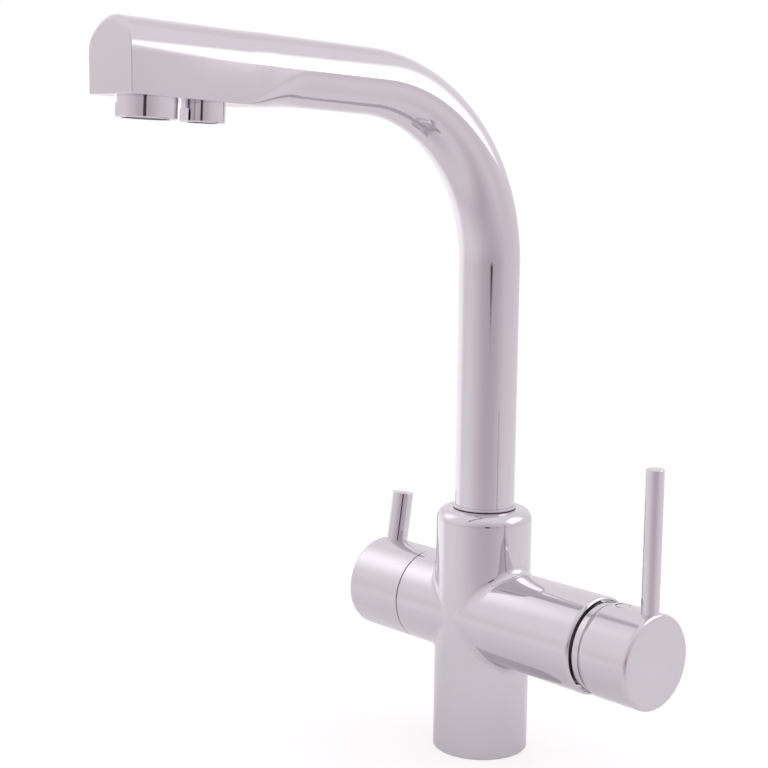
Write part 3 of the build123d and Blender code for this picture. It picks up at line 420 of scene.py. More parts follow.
def add_piece(name, patches, node, body, finish=None):
    """Sews patches into a piece that stands for a CAD node, in its slot's finish, on a body."""
    slots = {part["node"]: part["material_slot"] for part in frame["record"]["subparts"]}
    piece = add_object(name, sewn(name, patches))
    piece.data.materials.append(bpy.data.materials[FINISH_NAME.format(finish or slots[node])])
    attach(piece, body)
    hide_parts(node)


# ---- body
TURNS = degrees_from(-90.0, 270.0)
UPRIGHT = seat_on((0, 0, 0), X, Z)
# How far before the filter arm's end its round wall stops and its mouth's outline begins.
FILTER_LIP = 0.3


def cross_arm(size, side):
    """The wall round an arm and its cast fillet, up to the arm's round part; side is 1 or -1.

    The fillet is a ball that rolls in the corner, and its radius f grows from the arm's top to
    its side. Its centre is at (sqrt((R + f)^2 - y^2), y, z) with (y, z) = (r + f)(sin t, cos t),
    for a column of radius R and an arm of radius r. It touches the column at the centre's
    direction times R, and the arm at its direction times r, and between them the surface faces
    the blend of both directions.
    """
    turns = degrees_from(-90.0, 90.0)
    heights = np.linspace(-size.arm_window, size.arm_window, 41)
    across, upward = edge_round(turns, heights)
    t = np.arctan2(across / 90.0, upward / size.arm_window)
    fillet_radius = between(size.arm_fillet, size.side_fillet, eased(np.abs(np.sin(t)), 0.6, 1.0))
    y, z = (size.arm_radius + fillet_radius) * (np.sin(t), np.cos(t))
    x = np.sqrt((size.column_radius + fillet_radius) ** 2 - y ** 2)
    from_column = np.column_stack([x, y, 0 * x]) / (size.column_radius + fillet_radius)[:, None]
    from_arm = np.column_stack([0 * x, np.sin(t), np.cos(t)])
    spread = np.arccos((from_column * from_arm).sum(axis=1))[:, None]
    share = np.linspace(0.0, 1.0, 11)[:, None, None]
    ways = np.sin((1 - share) * spread) * from_column + np.sin(share * spread) * from_arm
    ways /= np.sin(spread)
    fillet = np.column_stack([x, y, z]) - fillet_radius[:, None] * ways
    touch = (np.degrees(np.arctan2(y, x)), z)
    round_start = size.arm_end - size.arm_edge if side > 0 else size.filter_arm_end - FILTER_LIP
    wall = np.stack([fillet[-1], np.column_stack([np.full_like(x, round_start),
                                                  size.arm_radius * np.sin(t),
                                                  size.arm_radius * np.cos(t)])])
    turn_round = (size.axis_height * Z, np.diag([side, side, 1.0]))
    patches = [blended(on_cylinder(UPRIGHT, size.column_radius), touch, (across, upward), 8),
               (fillet, ways), (wall, from_arm)]
    return [carried(turn_round, *patch) for patch in patches], np.degrees(t)


def body_patches(size):
    """Column, both arms, socket, chambers and the foot with its holes."""
    top, foot, edge = size.column_top, size.column_radius, size.foot_edge
    low, high = size.axis_height - size.arm_window, size.axis_height + size.arm_window
    keeper, half_band = size.keeper_height, 4.0
    socket, ledge = size.socket_radius, size.socket_floor
    wall = on_cylinder(UPRIGHT, foot)
    patches = [wall(TURNS[None, :], np.array([[edge], [low]])),
               wall(TURNS[None, :], np.array([[high], [keeper - half_band]]))]
    patches += holed_band(UPRIGHT, foot, (90.0, keeper, size.keeper_hole), floor=socket + 0.1,
                          half_window=15.0, half_height=half_band, rows=7)
    chamber, bottom = socket - 2.1, ledge - 9.0
    patches += turned(UPRIGHT, runs_of([
        (foot, keeper + half_band), (foot, top, size.shoulder), (socket, top, 0.1),
        (socket, ledge), (chamber, ledge), (chamber, bottom), (0, bottom)]), TURNS)
    patches += foot_patches(size)
    for side, end in ((1, mixer_mouth(size)), (-1, filter_mouth(size))):
        walls, turns = cross_arm(size, side)
        patches += walls + turned(seat_on(size.axis_height * Z, Z, side * X), end, -turns)
    return patches


def mixer_mouth(size):
    """Outline of the mixer arm's lip, mouth and stepped bore, out from the arm's round part.

    The lip is an arc down to where the mouth's 45 degree bevel touches it.
    """
    lip, end, bevel = size.arm_radius - size.arm_edge, size.arm_end, 0.5
    mouth, seat, bore = size.arm_radius - 1.5, 19.05, 17.55
    sunk = (mouth - lip + size.arm_edge - bevel) / size.arm_edge / math.sqrt(2.0)
    lip_arc = arc_run((lip, end - size.arm_edge), size.arm_edge, 0.0,
                      45.0 + math.degrees(math.asin(sunk)))
    floor, ledge, bottom = size.mouth_floor, size.mouth_floor - 3.9, 42.0
    return [lip_arc] + runs_of([
        lip_arc[0][-1], (mouth, end - bevel), (mouth, floor), (seat, floor), (seat, ledge),
        (bore, ledge), (bore, bottom), (0, bottom)])


def filter_mouth(size):
    """Outline of the filter arm's end and its bore with the ring space for the water."""
    wall, end, bore, ring_space = size.arm_radius, size.filter_arm_end, 9.25, 11.0
    near, far, bottom = end - 6.5, end - 14.5, end - 18.5
    return runs_of([
        (wall, end - FILTER_LIP), (wall, end, 0.25), (bore, end), (bore, near),
        (ring_space, near), (ring_space, far), (bore, far), (bore, bottom), (0, bottom)])


def foot_patches(size):
    """The foot's rim, the gasket's groove, and the plate with the stud hole and three inlets."""
    rim, groove, inner = size.column_radius, size.gasket_radius + 0.05, size.gasket_radius - 2.65
    stud, stud_depth, groove_depth, inlet, inlet_depth = 3.4, 14.0, 1.5, size.inlet_hole, 13.0
    patches = turned(UPRIGHT, runs_of([
        (inner, 0), (inner, groove_depth), (groove, groove_depth), (groove, 0),
        (rim - size.foot_edge, 0), (rim, size.foot_edge)]), TURNS)
    patches += turned(UPRIGHT, runs_of([(0, stud_depth), (stud, stud_depth), (stud, 0)]), TURNS)
    radii = np.linspace(stud, inner, 13)
    for middle in (-60.0, 60.0, 180.0):
        outer = edge_round(degrees_from(middle - 60.0, middle + 60.0), radii)
        angle = np.arctan2((outer[0] - middle) / 120.0, (outer[1] - radii.mean()) / np.ptp(radii))
        out, aside = size.inlet_circle + inlet * np.cos(angle), inlet * np.sin(angle)
        inner_edge = (middle + np.degrees(np.arctan2(aside, out)), np.hypot(out, aside))
        patches.append(blended(on_level(0.0), inner_edge, outer))
        way = ring(np.radians(middle))
        hole = runs_of([(0, inlet_depth), (inlet, inlet_depth), (inlet, 0)])
        patches += turned(seat_on(size.inlet_circle * way, way, Z), hole, np.degrees(angle))
    return patches


# ---- spout
def spout_places(size):
    """Root of the arm, and the ways along and up from it."""
    rise = size.arm_rise
    root = np.array([0.0, -size.bend_radius * (1 - math.sin(rise)),
                     size.bend_height + size.bend_radius * math.cos(rise)])
    along = np.array([0.0, -math.cos(rise), math.sin(rise)])
    return root, along, np.array([0.0, math.sin(rise), math.cos(rise)])


def pipe_patches(size):
    """Pipe with its bore: p + r (cos s X + sin s n).

    p climbs to the bend's height, goes round (0, c - b, h) + b n with n = (0, cos a, sin a) for a
    bend radius b, and then along the arm to where the nose starts to swell.
    """
    bend = np.linspace(0.0, math.pi / 2 - size.arm_rise, 97)
    root, along = spout_places(size)[:2]
    rise = np.concatenate([[0.0], bend, bend[-1:]])
    ways = np.column_stack([0 * rise, np.cos(rise), np.sin(rise)])
    centre = np.array([0.0, -size.bend_radius, size.bend_height])
    middle = np.concatenate([[(0.0, 0.0, size.pipe_foot)], centre + size.bend_radius * ways[1:-1],
                             [root + size.pipe_end * along]])
    turn = np.radians(np.linspace(0.0, 360.0, 145))[:, None]
    face = np.cos(turn) * X + np.sin(turn) * ways[:, None, :]
    outer = middle[:, None, :] + size.pipe_radius * face
    inner = outer - size.pipe_wall * face
    ends = [(np.stack([outer[row], inner[row]]), way) for row, way in ((0, -Z), (-1, along))]
    return [(outer, face), (inner, -face)] + ends


# Where the nose's sides, foot and corners begin and end to form, ahead of nose_start.
SIDES_FORM, FOOT_FORMS, CORNERS_FORM = (0.0, 15.5), (-20.0, 8.0), (-14.0, 22.0)


def nose_section(size, reach):
    """The nose's outline at distances along the arm, as parts of (across, up) with their ways.

    On top half an ellipse, w cos t and h sin t. Below it two sides, two round corners and the
    foot. From the pipe to the tip the half width w and the depth d grow, the height h and the
    corner radius c shrink, each by its own smooth step.
    """
    w, h, d, c = (between(size.pipe_radius, last, eased(reach - size.nose_start, *span))
                  for last, span in ((size.nose_half_width, SIDES_FORM),
                                     (size.nose_height, SIDES_FORM),
                                     (size.nose_depth, FOOT_FORMS),
                                     (size.nose_corner, CORNERS_FORM)))
    c = np.minimum(c, np.minimum(w, d))
    t = np.linspace(0.0, math.pi, 129)
    arch = np.stack([np.cos(t) / w, np.sin(t) / h], axis=-1)
    arch /= np.linalg.norm(arch, axis=-1, keepdims=True)
    parts = [(np.stack([w * np.cos(t), h * np.sin(t)], axis=-1), arch)]
    share = np.linspace(0.0, 1.0, 7)
    for side in (-1.0, 1.0):
        turn = np.linspace(0.0, math.pi / 2, 21)
        round_way = np.stack([side * np.cos(turn), -np.sin(turn)], axis=-1)
        wall = np.stack([side * w + 0 * share, -(d - c) * share], axis=-1)
        corner = np.stack([side * (w - c), c - d], axis=-1) + c[..., None] * round_way
        parts.append((wall, np.broadcast_to((side, 0.0), wall.shape)))
        parts.append((corner, np.broadcast_to(round_way, corner.shape)))
    foot = np.stack([(w - c) * (2 * share - 1), -d + 0 * share], axis=-1)
    parts.append((foot, np.broadcast_to((0.0, -1.0), foot.shape)))
    return parts


def nose_patches(size):
    """Nose: its section carried along the arm, a tip whose edge is rounded most on top, and ends.

    A wall leans by minus the growth of its section along the arm. The tip lies in an upright
    plane, at reach L + up tan(rise), and near it the wall turns in by e (1 - cos q) while it
    goes on by e sin q, with e large on top of the arch and small at its sides.
    """
    root, along, up = spout_places(size)
    axes = np.stack([X, up])
    last_row = size.nose_start + CORNERS_FORM[1]
    rows = np.append(np.arange(size.pipe_end, last_row, 0.75), last_row)[:, None]
    nudge, tip_way = 0.05, -Y
    q = np.radians(np.linspace(0.0, 90.0, 13))[:, None, None]
    patches = []
    for (low, ways), (high, _) in zip(nose_section(size, rows - nudge),
                                      nose_section(size, rows + nudge)):
        section = (low + high) / 2
        growth = ((high - low) / (2 * nudge) * ways).sum(axis=-1, keepdims=True)
        walls = root + rows[..., None] * along + section @ axes
        last, way = section[-1], ways[-1]
        edge = between(size.tip_edge, size.tip_top_edge, eased(way[:, 1:], 0.1, 1.0))
        shape = last - edge * (1 - np.cos(q)) * way
        far = (size.arm_length + shape[..., 1:] * math.tan(size.arm_rise)
               - edge * (1 - np.sin(q)))
        rim = root + far * along + shape @ axes
        patches += [(walls, ways @ axes - growth * along),
                    (rim, np.cos(q) * (way @ axes) + np.sin(q) * tip_way),
                    (np.stack([walls[-1], rim[0]]), way @ axes)]
        patches += [(np.stack([loop, root + reach * along + 0 * loop]), face)
                    for loop, reach, face in ((rim[-1], size.arm_length, tip_way),
                                              (walls[0], size.pipe_end, -along))]
    return patches


def outlet_patches(size, reach, radius, drop, bore):
    """Outlet ring under the nose: a turned ring whose lower part is cut flat front and back.

    The flats hold y within the radius less the flats' depth.
    """
    root, along, up = spout_places(size)
    place = seat_on(root + reach * along - size.nose_depth * up, X, up)
    circle = ring(np.radians(np.linspace(0.0, 360.0, 241)))
    top, step, edge = 0.4, -2.8, 0.4
    limit = radius - size.outlet_flat

    def loop(round_radius, height, cut=np.inf):
        points = round_radius * circle
        points[:, 1] = np.clip(points[:, 1], -cut, cut)
        return points + height * Z

    side = np.where(np.abs(radius * circle[:, 1:2]) > limit, np.sign(circle) * (0, 1, 0), circle)
    loops = [loop(radius, top), loop(radius, step), loop(radius, step, limit),
             loop(radius, edge - drop, limit), loop(radius - edge, -drop, limit - edge),
             loop(bore, -drop), loop(bore, top), loop(radius, top)]
    faces = [circle, -Z, side, side - Z, -Z, -circle, Z]
    return [carried(place, np.stack(pair), face)
            for pair, face in zip(zip(loops, loops[1:]), faces)]


# ---- handles and levers
def cap_patches(axis, back, radius, end, edge, hole, half_height, **band):
    """Round cap: the corners of its back, a band with a blind hole, and an end with a soft edge."""
    low, high = hole[1] - half_height, hole[1] + half_height
    return (turned(axis, runs_of([*back, (radius, low)]), TURNS)
            + holed_band(axis, radius, hole, half_height=half_height, **band)
            + turned(axis, runs_of([(radius, high), (radius, end, edge), (0, end)], 14), TURNS))


def mixer_handle_patches(size):
    """Round cap with a hollow, narrowed back, a soft end edge and a hole for the index plug."""
    start, end, radius = size.handle_start, size.handle_end, size.handle_radius
    hollow, hollow_end, rear = radius - 4.0, end - 10.0, size.handle_rear_radius
    middle = start + 0.55 * size.handle_taper
    back = [(0, hollow_end), (hollow, hollow_end), (hollow, start, 0.2), (rear, start, 0.4),
            (rear + 0.15, middle, 0.3), (radius, start + size.handle_taper, 1.4)]
    return cap_patches(seat_on(size.axis_height * Z, Z, X), back, radius, end, size.handle_edge,
                       (0.0, size.plug_reach, size.plug_hole), floor=radius - 1.6,
                       half_window=18.0, half_height=4.2, rows=9)


def nut_patches(size):
    """Ring nut that holds the cartridge, deep in the mouth of the mixer arm."""
    return turned(seat_on(size.axis_height * Z, Z, X), runs_of([
        (size.nut_bore, size.nut_front), (size.nut_bore, size.nut_rear),
        (size.nut_radius, size.nut_rear, 0.3), (size.nut_radius, size.nut_front, 0.5),
        (size.nut_bore, size.nut_front)]))


def filter_handle_patches(size):
    """Round cap that continues the filter arm, with a soft end edge and a screw hole below."""
    start, radius = size.filter_handle_start, size.filter_handle_radius
    hollow, hollow_end = radius - 3.3, start + 13.0
    back = [(0, hollow_end), (hollow, hollow_end), (hollow, start, 0.2), (radius, start, 0.3)]
    under, screw = 180.0 + math.degrees(size.filter_lever_lean), 2.55
    return cap_patches(seat_on(size.axis_height * Z, Z, -X), back, radius,
                       size.filter_handle_end, size.filter_handle_edge,
                       (under, size.filter_screw_reach, screw), floor=11.2, half_window=15.0,
                       half_height=3.6, rows=7)


def lever_patches(place, radius, top, edge, ledge, tenon, tenon_length):
    """Round lever with a thinner tenon below its ledge and a softened top edge."""
    foot = ledge - tenon_length
    return turned(place, runs_of([
        (0, foot), (tenon, foot), (tenon, ledge), (radius, ledge), (radius, top, edge), (0, top)],
        10))


# ---- node helpers
def link(tree, source, target):
    """Joins an output socket to an input socket, or sets the input to a plain value."""
    if hasattr(source, "is_output"):
        tree.links.new(source, target)
    else:
        target.default_value = source


def feed(tree, node, inputs):
    """Gives a node's inputs, named or numbered, their sockets or values; returns the node."""
    for name, value in inputs.items():
        link(tree, value, node.inputs[name])
    return node


def add_node(tree, kind, inputs=None, **settings):
    """Adds a shader node with its settings and inputs; returns it."""
    node = tree.nodes.new("ShaderNode" + kind)
    for name, value in settings.items():
        setattr(node, name, value)
    return feed(tree, node, inputs or {})


def math_node(tree, operation, first, second=0.0):
    """A Math node whose inputs are sockets or numbers; returns its output."""
    return add_node(tree, "Math", {0: first, 1: second}, operation=operation).outputs[0]


def vector_node(tree, operation, first, second=(0.0, 0.0, 0.0), output="Value"):
    """A Vector Math node; returns the named output."""
    return add_node(tree, "VectorMath", {0: first, 1: second}, operation=operation).outputs[output]


def ramp_value(tree, value, low, high, to_low, to_high, smooth=True):
    """Map Range of a socket from low..high to to_low..to_high, clamped; returns its output."""
    ends = {"Value": value, "From Min": low, "From Max": high, "To Min": to_low, "To Max": to_high}
    kind = "SMOOTHSTEP" if smooth else "LINEAR"
    return add_node(tree, "MapRange", ends, interpolation_type=kind).outputs["Result"]


def mixed(tree, share, first, second):
    """A Mix Shader from the first shader node to the second; returns it."""
    return add_node(tree, "MixShader", {0: share, 1: first.outputs[0], 2: second.outputs[0]})


def way_to(azimuth, elevation):
    """The way at an azimuth, from -Y towards +X, and an elevation, both in degrees."""
    turn, rise = math.radians(azimuth), math.radians(elevation)
    return np.array([math.cos(rise) * math.sin(turn), -math.cos(rise) * math.cos(turn),
                     math.sin(rise)])


def facing(tree, direction, azimuth, elevation):
    """Cosine between a direction socket and the way to an azimuth and elevation."""
    return vector_node(tree, "DOT_PRODUCT", direction, tuple(way_to(azimuth, elevation)))


# ---- effects shared by finishes
def new_effect(name, inputs, outputs):
    """A node group with inputs by name and default, and outputs that are numbers.

    Returns the group, the sockets of its inputs, and the node that takes its outputs.
    """
    group = bpy.data.node_groups.new(name, "ShaderNodeTree")
    for socket, value in inputs.items():
        kind = "NodeSocketFloat" if isinstance(value, float) else "NodeSocketVector"
        made = group.interface.new_socket(name=socket, in_out="INPUT", socket_type=kind)
        made.default_value = value
    for socket in outputs:
        group.interface.new_socket(name=socket, in_out="OUTPUT", socket_type="NodeSocketFloat")
    return group, group.nodes.new("NodeGroupInput").outputs, group.nodes.new("NodeGroupOutput")


def effect(tree, name, **inputs):
    """Adds an effect by its name; returns its outputs."""
    return add_node(tree, "Group", inputs, node_tree=bpy.data.node_groups[name]).outputs


def noise(tree, vector, scale, detail=2.0, roughness=0.5):
    """A Noise Texture on a vector socket; returns its factor."""
    return add_node(tree, "TexNoise", {"Vector": vector, "Scale": scale, "Detail": detail,
                                       "Roughness": roughness}).outputs["Fac"]


def clouds_effect():
    """Soft clouds with fine grain over them: a mask around 0.5 that drifts over the surface."""
    group, given, sink = new_effect("Clouds", {"Vector": (0, 0, 0), "Scale": 40.0},
                                    ("Mask", "Grain"))
    fine = math_node(group, "MULTIPLY", given["Scale"], 60.0)
    feed(group, sink, {"Mask": noise(group, given["Vector"], given["Scale"]),
                       "Grain": noise(group, given["Vector"], fine, 3.0)})


def brushed_effect():
    """Polishing lines: a grain drawn out by a stretch vector, fine across and long along."""
    group, given, sink = new_effect("Polishing lines",
                                    {"Vector": (0, 0, 0), "Stretch": (1, 1, 1)}, ("Lines",))
    drawn = vector_node(group, "MULTIPLY", given["Vector"], given["Stretch"], "Vector")
    feed(group, sink, {"Lines": noise(group, drawn, 1.0, 3.0, 0.55)})


def turned_effect():
    """Tool marks of a lathe: fine lines that repeat along one axis and wander slightly."""
    group, given, sink = new_effect(
        "Tool marks", {"Vector": (0, 0, 0), "Axis": (0, 0, 1), "Pitch": 0.0004}, ("Lines",))
    along = vector_node(group, "DOT_PRODUCT", given["Vector"], given["Axis"])
    wander = noise(group, given["Vector"], 900.0)
    turns = math_node(group, "DIVIDE", along, given["Pitch"])
    phase = math_node(group, "ADD", turns, math_node(group, "MULTIPLY", wander, 0.6))
    wave = math_node(group, "SINE", math_node(group, "MULTIPLY", phase, 2 * math.pi))
    feed(group, sink, {"Lines": ramp_value(group, wave, -1.0, 1.0, 0.0, 1.0)})


def new_material(name):
    """A material with its tree, its Principled BSDF and the Object coordinates."""
    material = bpy.data.materials.new(FINISH_NAME.format(name))
    material.use_nodes = True
    tree = material.node_tree
    place = add_node(tree, "TexCoord").outputs["Object"]
    return material, tree, tree.nodes["Principled BSDF"], place


def tint_between(tree, mask, first, second):
    """Mixes two colours by a mask; returns the colour socket."""
    return add_node(tree, "Mix", {0: mask, "A": (*first, 1.0), "B": (*second, 1.0)},
                    data_type="RGBA").outputs["Result"]


def raised(tree, height, distance):
    """A Bump node of the given depth; returns its normal."""
    return add_node(tree, "Bump", {"Strength": 1.0, "Distance": distance,
                                   "Height": height}).outputs["Normal"]


def scaled(tint, factor):
    """A colour made lighter or darker by a factor."""
    return tuple(min(channel * factor, 1.0) for channel in tint)


# ---- finishes
def chrome_look(tree, place, tint, roughness, brushing=None, depth=0.0):
    """Polished chrome: a faint drift of tone and gloss as hands and cloths leave it.

    brushing stretches a grain along the polishing wheel's way, and depth is how deep it goes.
    """
    clouds = effect(tree, "Clouds", Vector=place, Scale=28.0)
    look = {
        "Metallic": 1.0,
        "Base Color": tint_between(tree, clouds["Mask"], scaled(tint, 0.97), scaled(tint, 1.03)),
        "Roughness": ramp_value(tree, clouds["Grain"], 0.3, 0.7, roughness * 0.8, roughness * 1.2)}
    if brushing:
        grain = effect(tree, "Polishing lines", Vector=place, Stretch=brushing)
        look["Normal"] = raised(tree, grain["Lines"], depth)
    return look


def machined_look(tree, place, tint, roughness, axis, pitch):
    """Turned metal: lathe marks in tone, gloss and height."""
    marks = effect(tree, "Tool marks", Vector=place, Axis=axis, Pitch=pitch)["Lines"]
    mask = effect(tree, "Clouds", Vector=place, Scale=90.0)["Mask"]
    return {"Metallic": 1.0,
            "Base Color": tint_between(tree, mask, scaled(tint, 0.8), scaled(tint, 1.15)),
            "Roughness": ramp_value(tree, marks, 0.0, 1.0, roughness, roughness * 1.5),
            "Normal": raised(tree, marks, 0.00001)}


def moulded_look(tree, place, tint, roughness, depth):
    """Moulded plastic or rubber: fine grain with a soft drift of tone."""
    mask, grain = effect(tree, "Clouds", Vector=place, Scale=60.0)
    return {"Base Color": tint_between(tree, mask, scaled(tint, 0.88), scaled(tint, 1.12)),
            "Roughness": ramp_value(tree, grain, 0.2, 0.8, roughness * 0.85, roughness * 1.15),
            "Normal": raised(tree, grain, depth)}


def all_finishes(settings):
    """One material for each material slot of the record, and two more for the piece skins.

    The nose shows polishing lines along the arm, and the filter handle shows them round its axis.
    """
    for add_effect in (clouds_effect, turned_effect, brushed_effect):
        add_effect()
    gloss, satin = settings.chrome_roughness, settings.satin_roughness
    made = {}
    for look, rows in (
            (chrome_look, (
                ("chrome_body", 1.0, gloss), ("chrome_spout", 1.0, gloss),
                ("chrome_handle", 1.0, satin), ("chrome_lever", 1.0, gloss),
                ("chrome_plug", 0.97, gloss), ("chrome_outlet", 1.02, gloss),
                ("chrome_nose", 1.0, gloss * 1.5, (900.0, 22.0, 900.0), 0.0000018),
                ("chrome_satin", 1.0, satin * 1.5, (1400.0, 60.0, 60.0), 0.000006))),
            (machined_look, (
                ("brass", 1.0, 0.24, (1.0, 0.0, 0.0), 0.0004),
                ("steel", 1.0, 0.28, (0.0, 0.3, 1.0), 0.0003))),
            (moulded_look, (
                ("ceramic", 1.0, 0.2, 0.000002), ("white_plastic", 1.0, 0.42, 0.00001),
                ("grey_plastic", 1.0, 0.45, 0.00001), ("dark_plastic", 1.0, 0.4, 0.00001),
                ("black_rubber", 1.0, 0.7, 0.00002)))):
        for name, tone, *values in rows:
            tint = getattr(settings, "chrome" if look is chrome_look else name)
            made[name], tree, shader, place = new_material(name)
            feed(tree, shader, look(tree, place, scaled(tint, tone), *values))
    return made


# ---- stage
# Azimuth and elevation of the tent's opening and of the camera in it.
OPENING_WAY, CAMERA_WAY = (50.0, -6.0), (52.0, 1.0)
# Soft round patches of the walls: azimuth and elevation of the middle, the cosines from it at the
# patch's edge and where it is full, and how much it adds to the level.
TENT_PATCHES = ((-94.0, -13.0, 0.84, 1.0, 0.33), (132.0, -12.0, 0.9, 0.99, -0.035),
                (-150.0, 45.0, 0.93, 1.0, -0.09))
# Changes of level overhead and far below: two heights, as sines, and the change at each.
OVERHEAD, FAR_BELOW = (0.12, 0.75, 0.0, 0.04), (-0.75, -0.3, -0.12, 0.0)
# The dark band along the horizon: how far it lies below 0, and two distances and changes.
BAND_DROP, HORIZON_BAND = 0.03, (0.0, 0.24, -0.07, 0.0)
# The camera's own shade: two cosines from it, and the share of the light at each.
CAMERA_SHADE = (0.9895, 0.996, 1.0, 0.1)


def tent_world(settings):
    """The light tent as a world: white for the camera and through glass, graded walls otherwise.

    The walls are darkest and pinkest round the opening in front, by the square of the cosine from
    it, a little darker along the horizon and far below, lighter overhead, and changed by a few
    soft round patches. The camera's own place in the opening is nearly dark.
    """
    world = bpy.data.worlds.new("Light tent")
    world.use_nodes = True
    tree = world.node_tree
    tree.nodes.clear()
    way = add_node(tree, "TexCoord").outputs["Generated"]
    tent, opening = settings.tent_level, settings.opening_level
    front = math_node(tree, "MAXIMUM", facing(tree, way, *OPENING_WAY))
    level = ramp_value(tree, math_node(tree, "POWER", front, 2.0), 0.0, 1.0, tent, opening,
                       smooth=False)
    height = facing(tree, way, 0.0, 90.0)
    off_horizon = math_node(tree, "ABSOLUTE", math_node(tree, "ADD", height, BAND_DROP))
    changes = [ramp_value(tree, facing(tree, way, *middle), edge, full, 0.0, change)
               for *middle, edge, full, change in TENT_PATCHES]
    changes += [ramp_value(tree, height, *OVERHEAD), ramp_value(tree, off_horizon, *HORIZON_BAND),
                ramp_value(tree, height, *FAR_BELOW)]
    for change in changes:
        level = math_node(tree, "ADD", level, change)
    shade = ramp_value(tree, facing(tree, way, *CAMERA_WAY), *CAMERA_SHADE)
    tone = tint_between(tree, ramp_value(tree, level, opening, tent, 0.0, 1.0, smooth=False),
                        tuple(settings.opening_colour), tuple(settings.tent_colour))
    walls = add_node(tree, "Background", {
        "Color": tone, "Strength": math_node(tree, "MULTIPLY", level, shade)})
    white = add_node(tree, "Background", {"Color": (1.0, 1.0, 1.0, 1.0)})
    path = add_node(tree, "LightPath").outputs
    seen = math_node(tree, "MAXIMUM", path["Is Camera Ray"], path["Is Transmission Ray"])
    add_node(tree, "OutputWorld", {"Surface": mixed(tree, seen, walls, white).outputs[0]})
    return world


def soft_window(tree, place, low_edge, high_edge):
    """A share that is 1 inside 0..1 and fades over each edge's width."""
    return math_node(tree, "MULTIPLY", ramp_value(tree, place, 0.0, low_edge, 0.0, 1.0),
                     ramp_value(tree, place, 1.0 - high_edge, 1.0, 1.0, 0.0))


def add_facing(name, data, place, back, roll=0.0):
    """Adds a lamp or camera whose back looks along a way, rolled about it; returns it."""
    right = np.cross(Z, back)
    right /= np.linalg.norm(right)
    above = np.cross(back, right)
    axes = np.stack([math.cos(roll) * right + math.sin(roll) * above,
                     math.cos(roll) * above - math.sin(roll) * right, back], axis=1)
    added = add_object(name, data)
    added.matrix_world = Matrix.Translation(place) @ Matrix(axes.tolist()).to_4x4()
    return added


def add_lamp(name, level, azimuth, elevation, distance, width, height, aim, fades):
    """A soft rectangular lamp that faces the point aim; level is its radiance.

    fades are the shares of its width and height over which its four edges fade out.
    """
    way = way_to(azimuth, elevation)
    data = bpy.data.lights.new(name, "AREA")
    data.shape = "RECTANGLE"
    data.size, data.size_y = width, height
    data.energy = level * math.pi * width * height
    data.use_nodes = True
    tree = data.node_tree
    place = add_node(tree, "SeparateXYZ",
                     {0: add_node(tree, "NewGeometry").outputs["Parametric"]}).outputs
    window = math_node(tree, "MULTIPLY", soft_window(tree, place["X"], *fades[:2]),
                       soft_window(tree, place["Y"], *fades[2:]))
    link(tree, window, tree.nodes["Emission"].inputs["Strength"])
    lamp = add_facing(name, data, np.asarray(aim) + distance * way, way)
    lamp.visible_camera = False


# How much of its plain white the floor shows to the camera and in the metal, and between which
# radii, in metres, its rim fades out of the metal into the tent's walls.
CAMERA_SHARE, MIRROR_SHARE, RIM_FADES = 0.5, 0.17, (0.12, 0.38)


def floor_material(settings):
    """A pale floor: white to the camera with the tap's own shadow kept, fading out in the metal."""
    material, tree, shader, place = new_material("floor")
    base = tuple(settings.floor)
    feed(tree, shader, {
        "Base Color": tint_between(tree, noise(tree, place, 30.0), scaled(base, 0.995), base),
        "Roughness": 0.9, "Specular IOR Level": 0.0})
    glow = add_node(tree, "Emission", {"Strength": settings.floor_glow})
    path = add_node(tree, "LightPath").outputs
    white = math_node(tree, "MAXIMUM",
                      math_node(tree, "MULTIPLY", path["Is Camera Ray"], CAMERA_SHARE),
                      math_node(tree, "MULTIPLY", path["Is Glossy Ray"], MIRROR_SHARE))
    rim = ramp_value(tree, vector_node(tree, "LENGTH", place), *RIM_FADES, 0.0, 1.0)
    faded = mixed(tree, math_node(tree, "MULTIPLY", path["Is Glossy Ray"], rim),
                  mixed(tree, white, shader, glow), add_node(tree, "BsdfTransparent"))
    link(tree, faded.outputs[0], tree.nodes["Material Output"].inputs["Surface"])
    return material


def add_floor(settings):
    """A flat disc at the worktop's height: one face with corners at R (cos a, sin a)."""
    rim = settings.floor_radius * ring(np.linspace(0.0, 2 * math.pi, 96, endpoint=False))
    mesh = bpy.data.meshes.new("floor")
    mesh.from_pydata(rim.tolist(), [], [list(range(len(rim)))])
    mesh.materials.append(floor_material(settings))
    floor = add_object("floor", mesh)


def add_camera(settings):
    """The camera at the photograph's view: yaw, then pitch, then roll."""
    data = bpy.data.cameras.new("camera")
    data.sensor_width = 36.0
    data.lens = settings.camera_lens
    place = (settings.camera_x, settings.camera_y, settings.camera_z)
    back = way_to(-math.degrees(settings.camera_yaw), math.degrees(settings.camera_pitch))
    bpy.context.scene.camera = add_facing("camera", data, place, back, settings.camera_roll)


class TAP_OT_stage(Operator):
    """Builds the camera, the light tent, the lamps and the floor"""
    bl_idname = "tap.stage"
    bl_label = "Studio"

    def execute(self, context):
        settings = context.scene.tap_studio
        context.scene.world = tent_world(settings)
        context.scene.view_settings.view_transform = "Standard"
        add_lamp("back lamp", settings.lamp_level, azimuth=150.0, elevation=20.7, distance=0.7,
                 width=0.71, height=0.43, aim=(0.014, -0.165, 0.31), fades=(0.13, 0.6, 0.01, 0.4))
        add_lamp("side lamp", settings.side_lamp_level, azimuth=-68.0, elevation=38.0,
                 distance=0.47, width=0.5, height=0.48, aim=(-0.055, 0.0, 0.085),
                 fades=(0.5, 0.5, 0.5, 0.5))
        add_floor(settings)
        add_camera(settings)
        return {"FINISHED"}


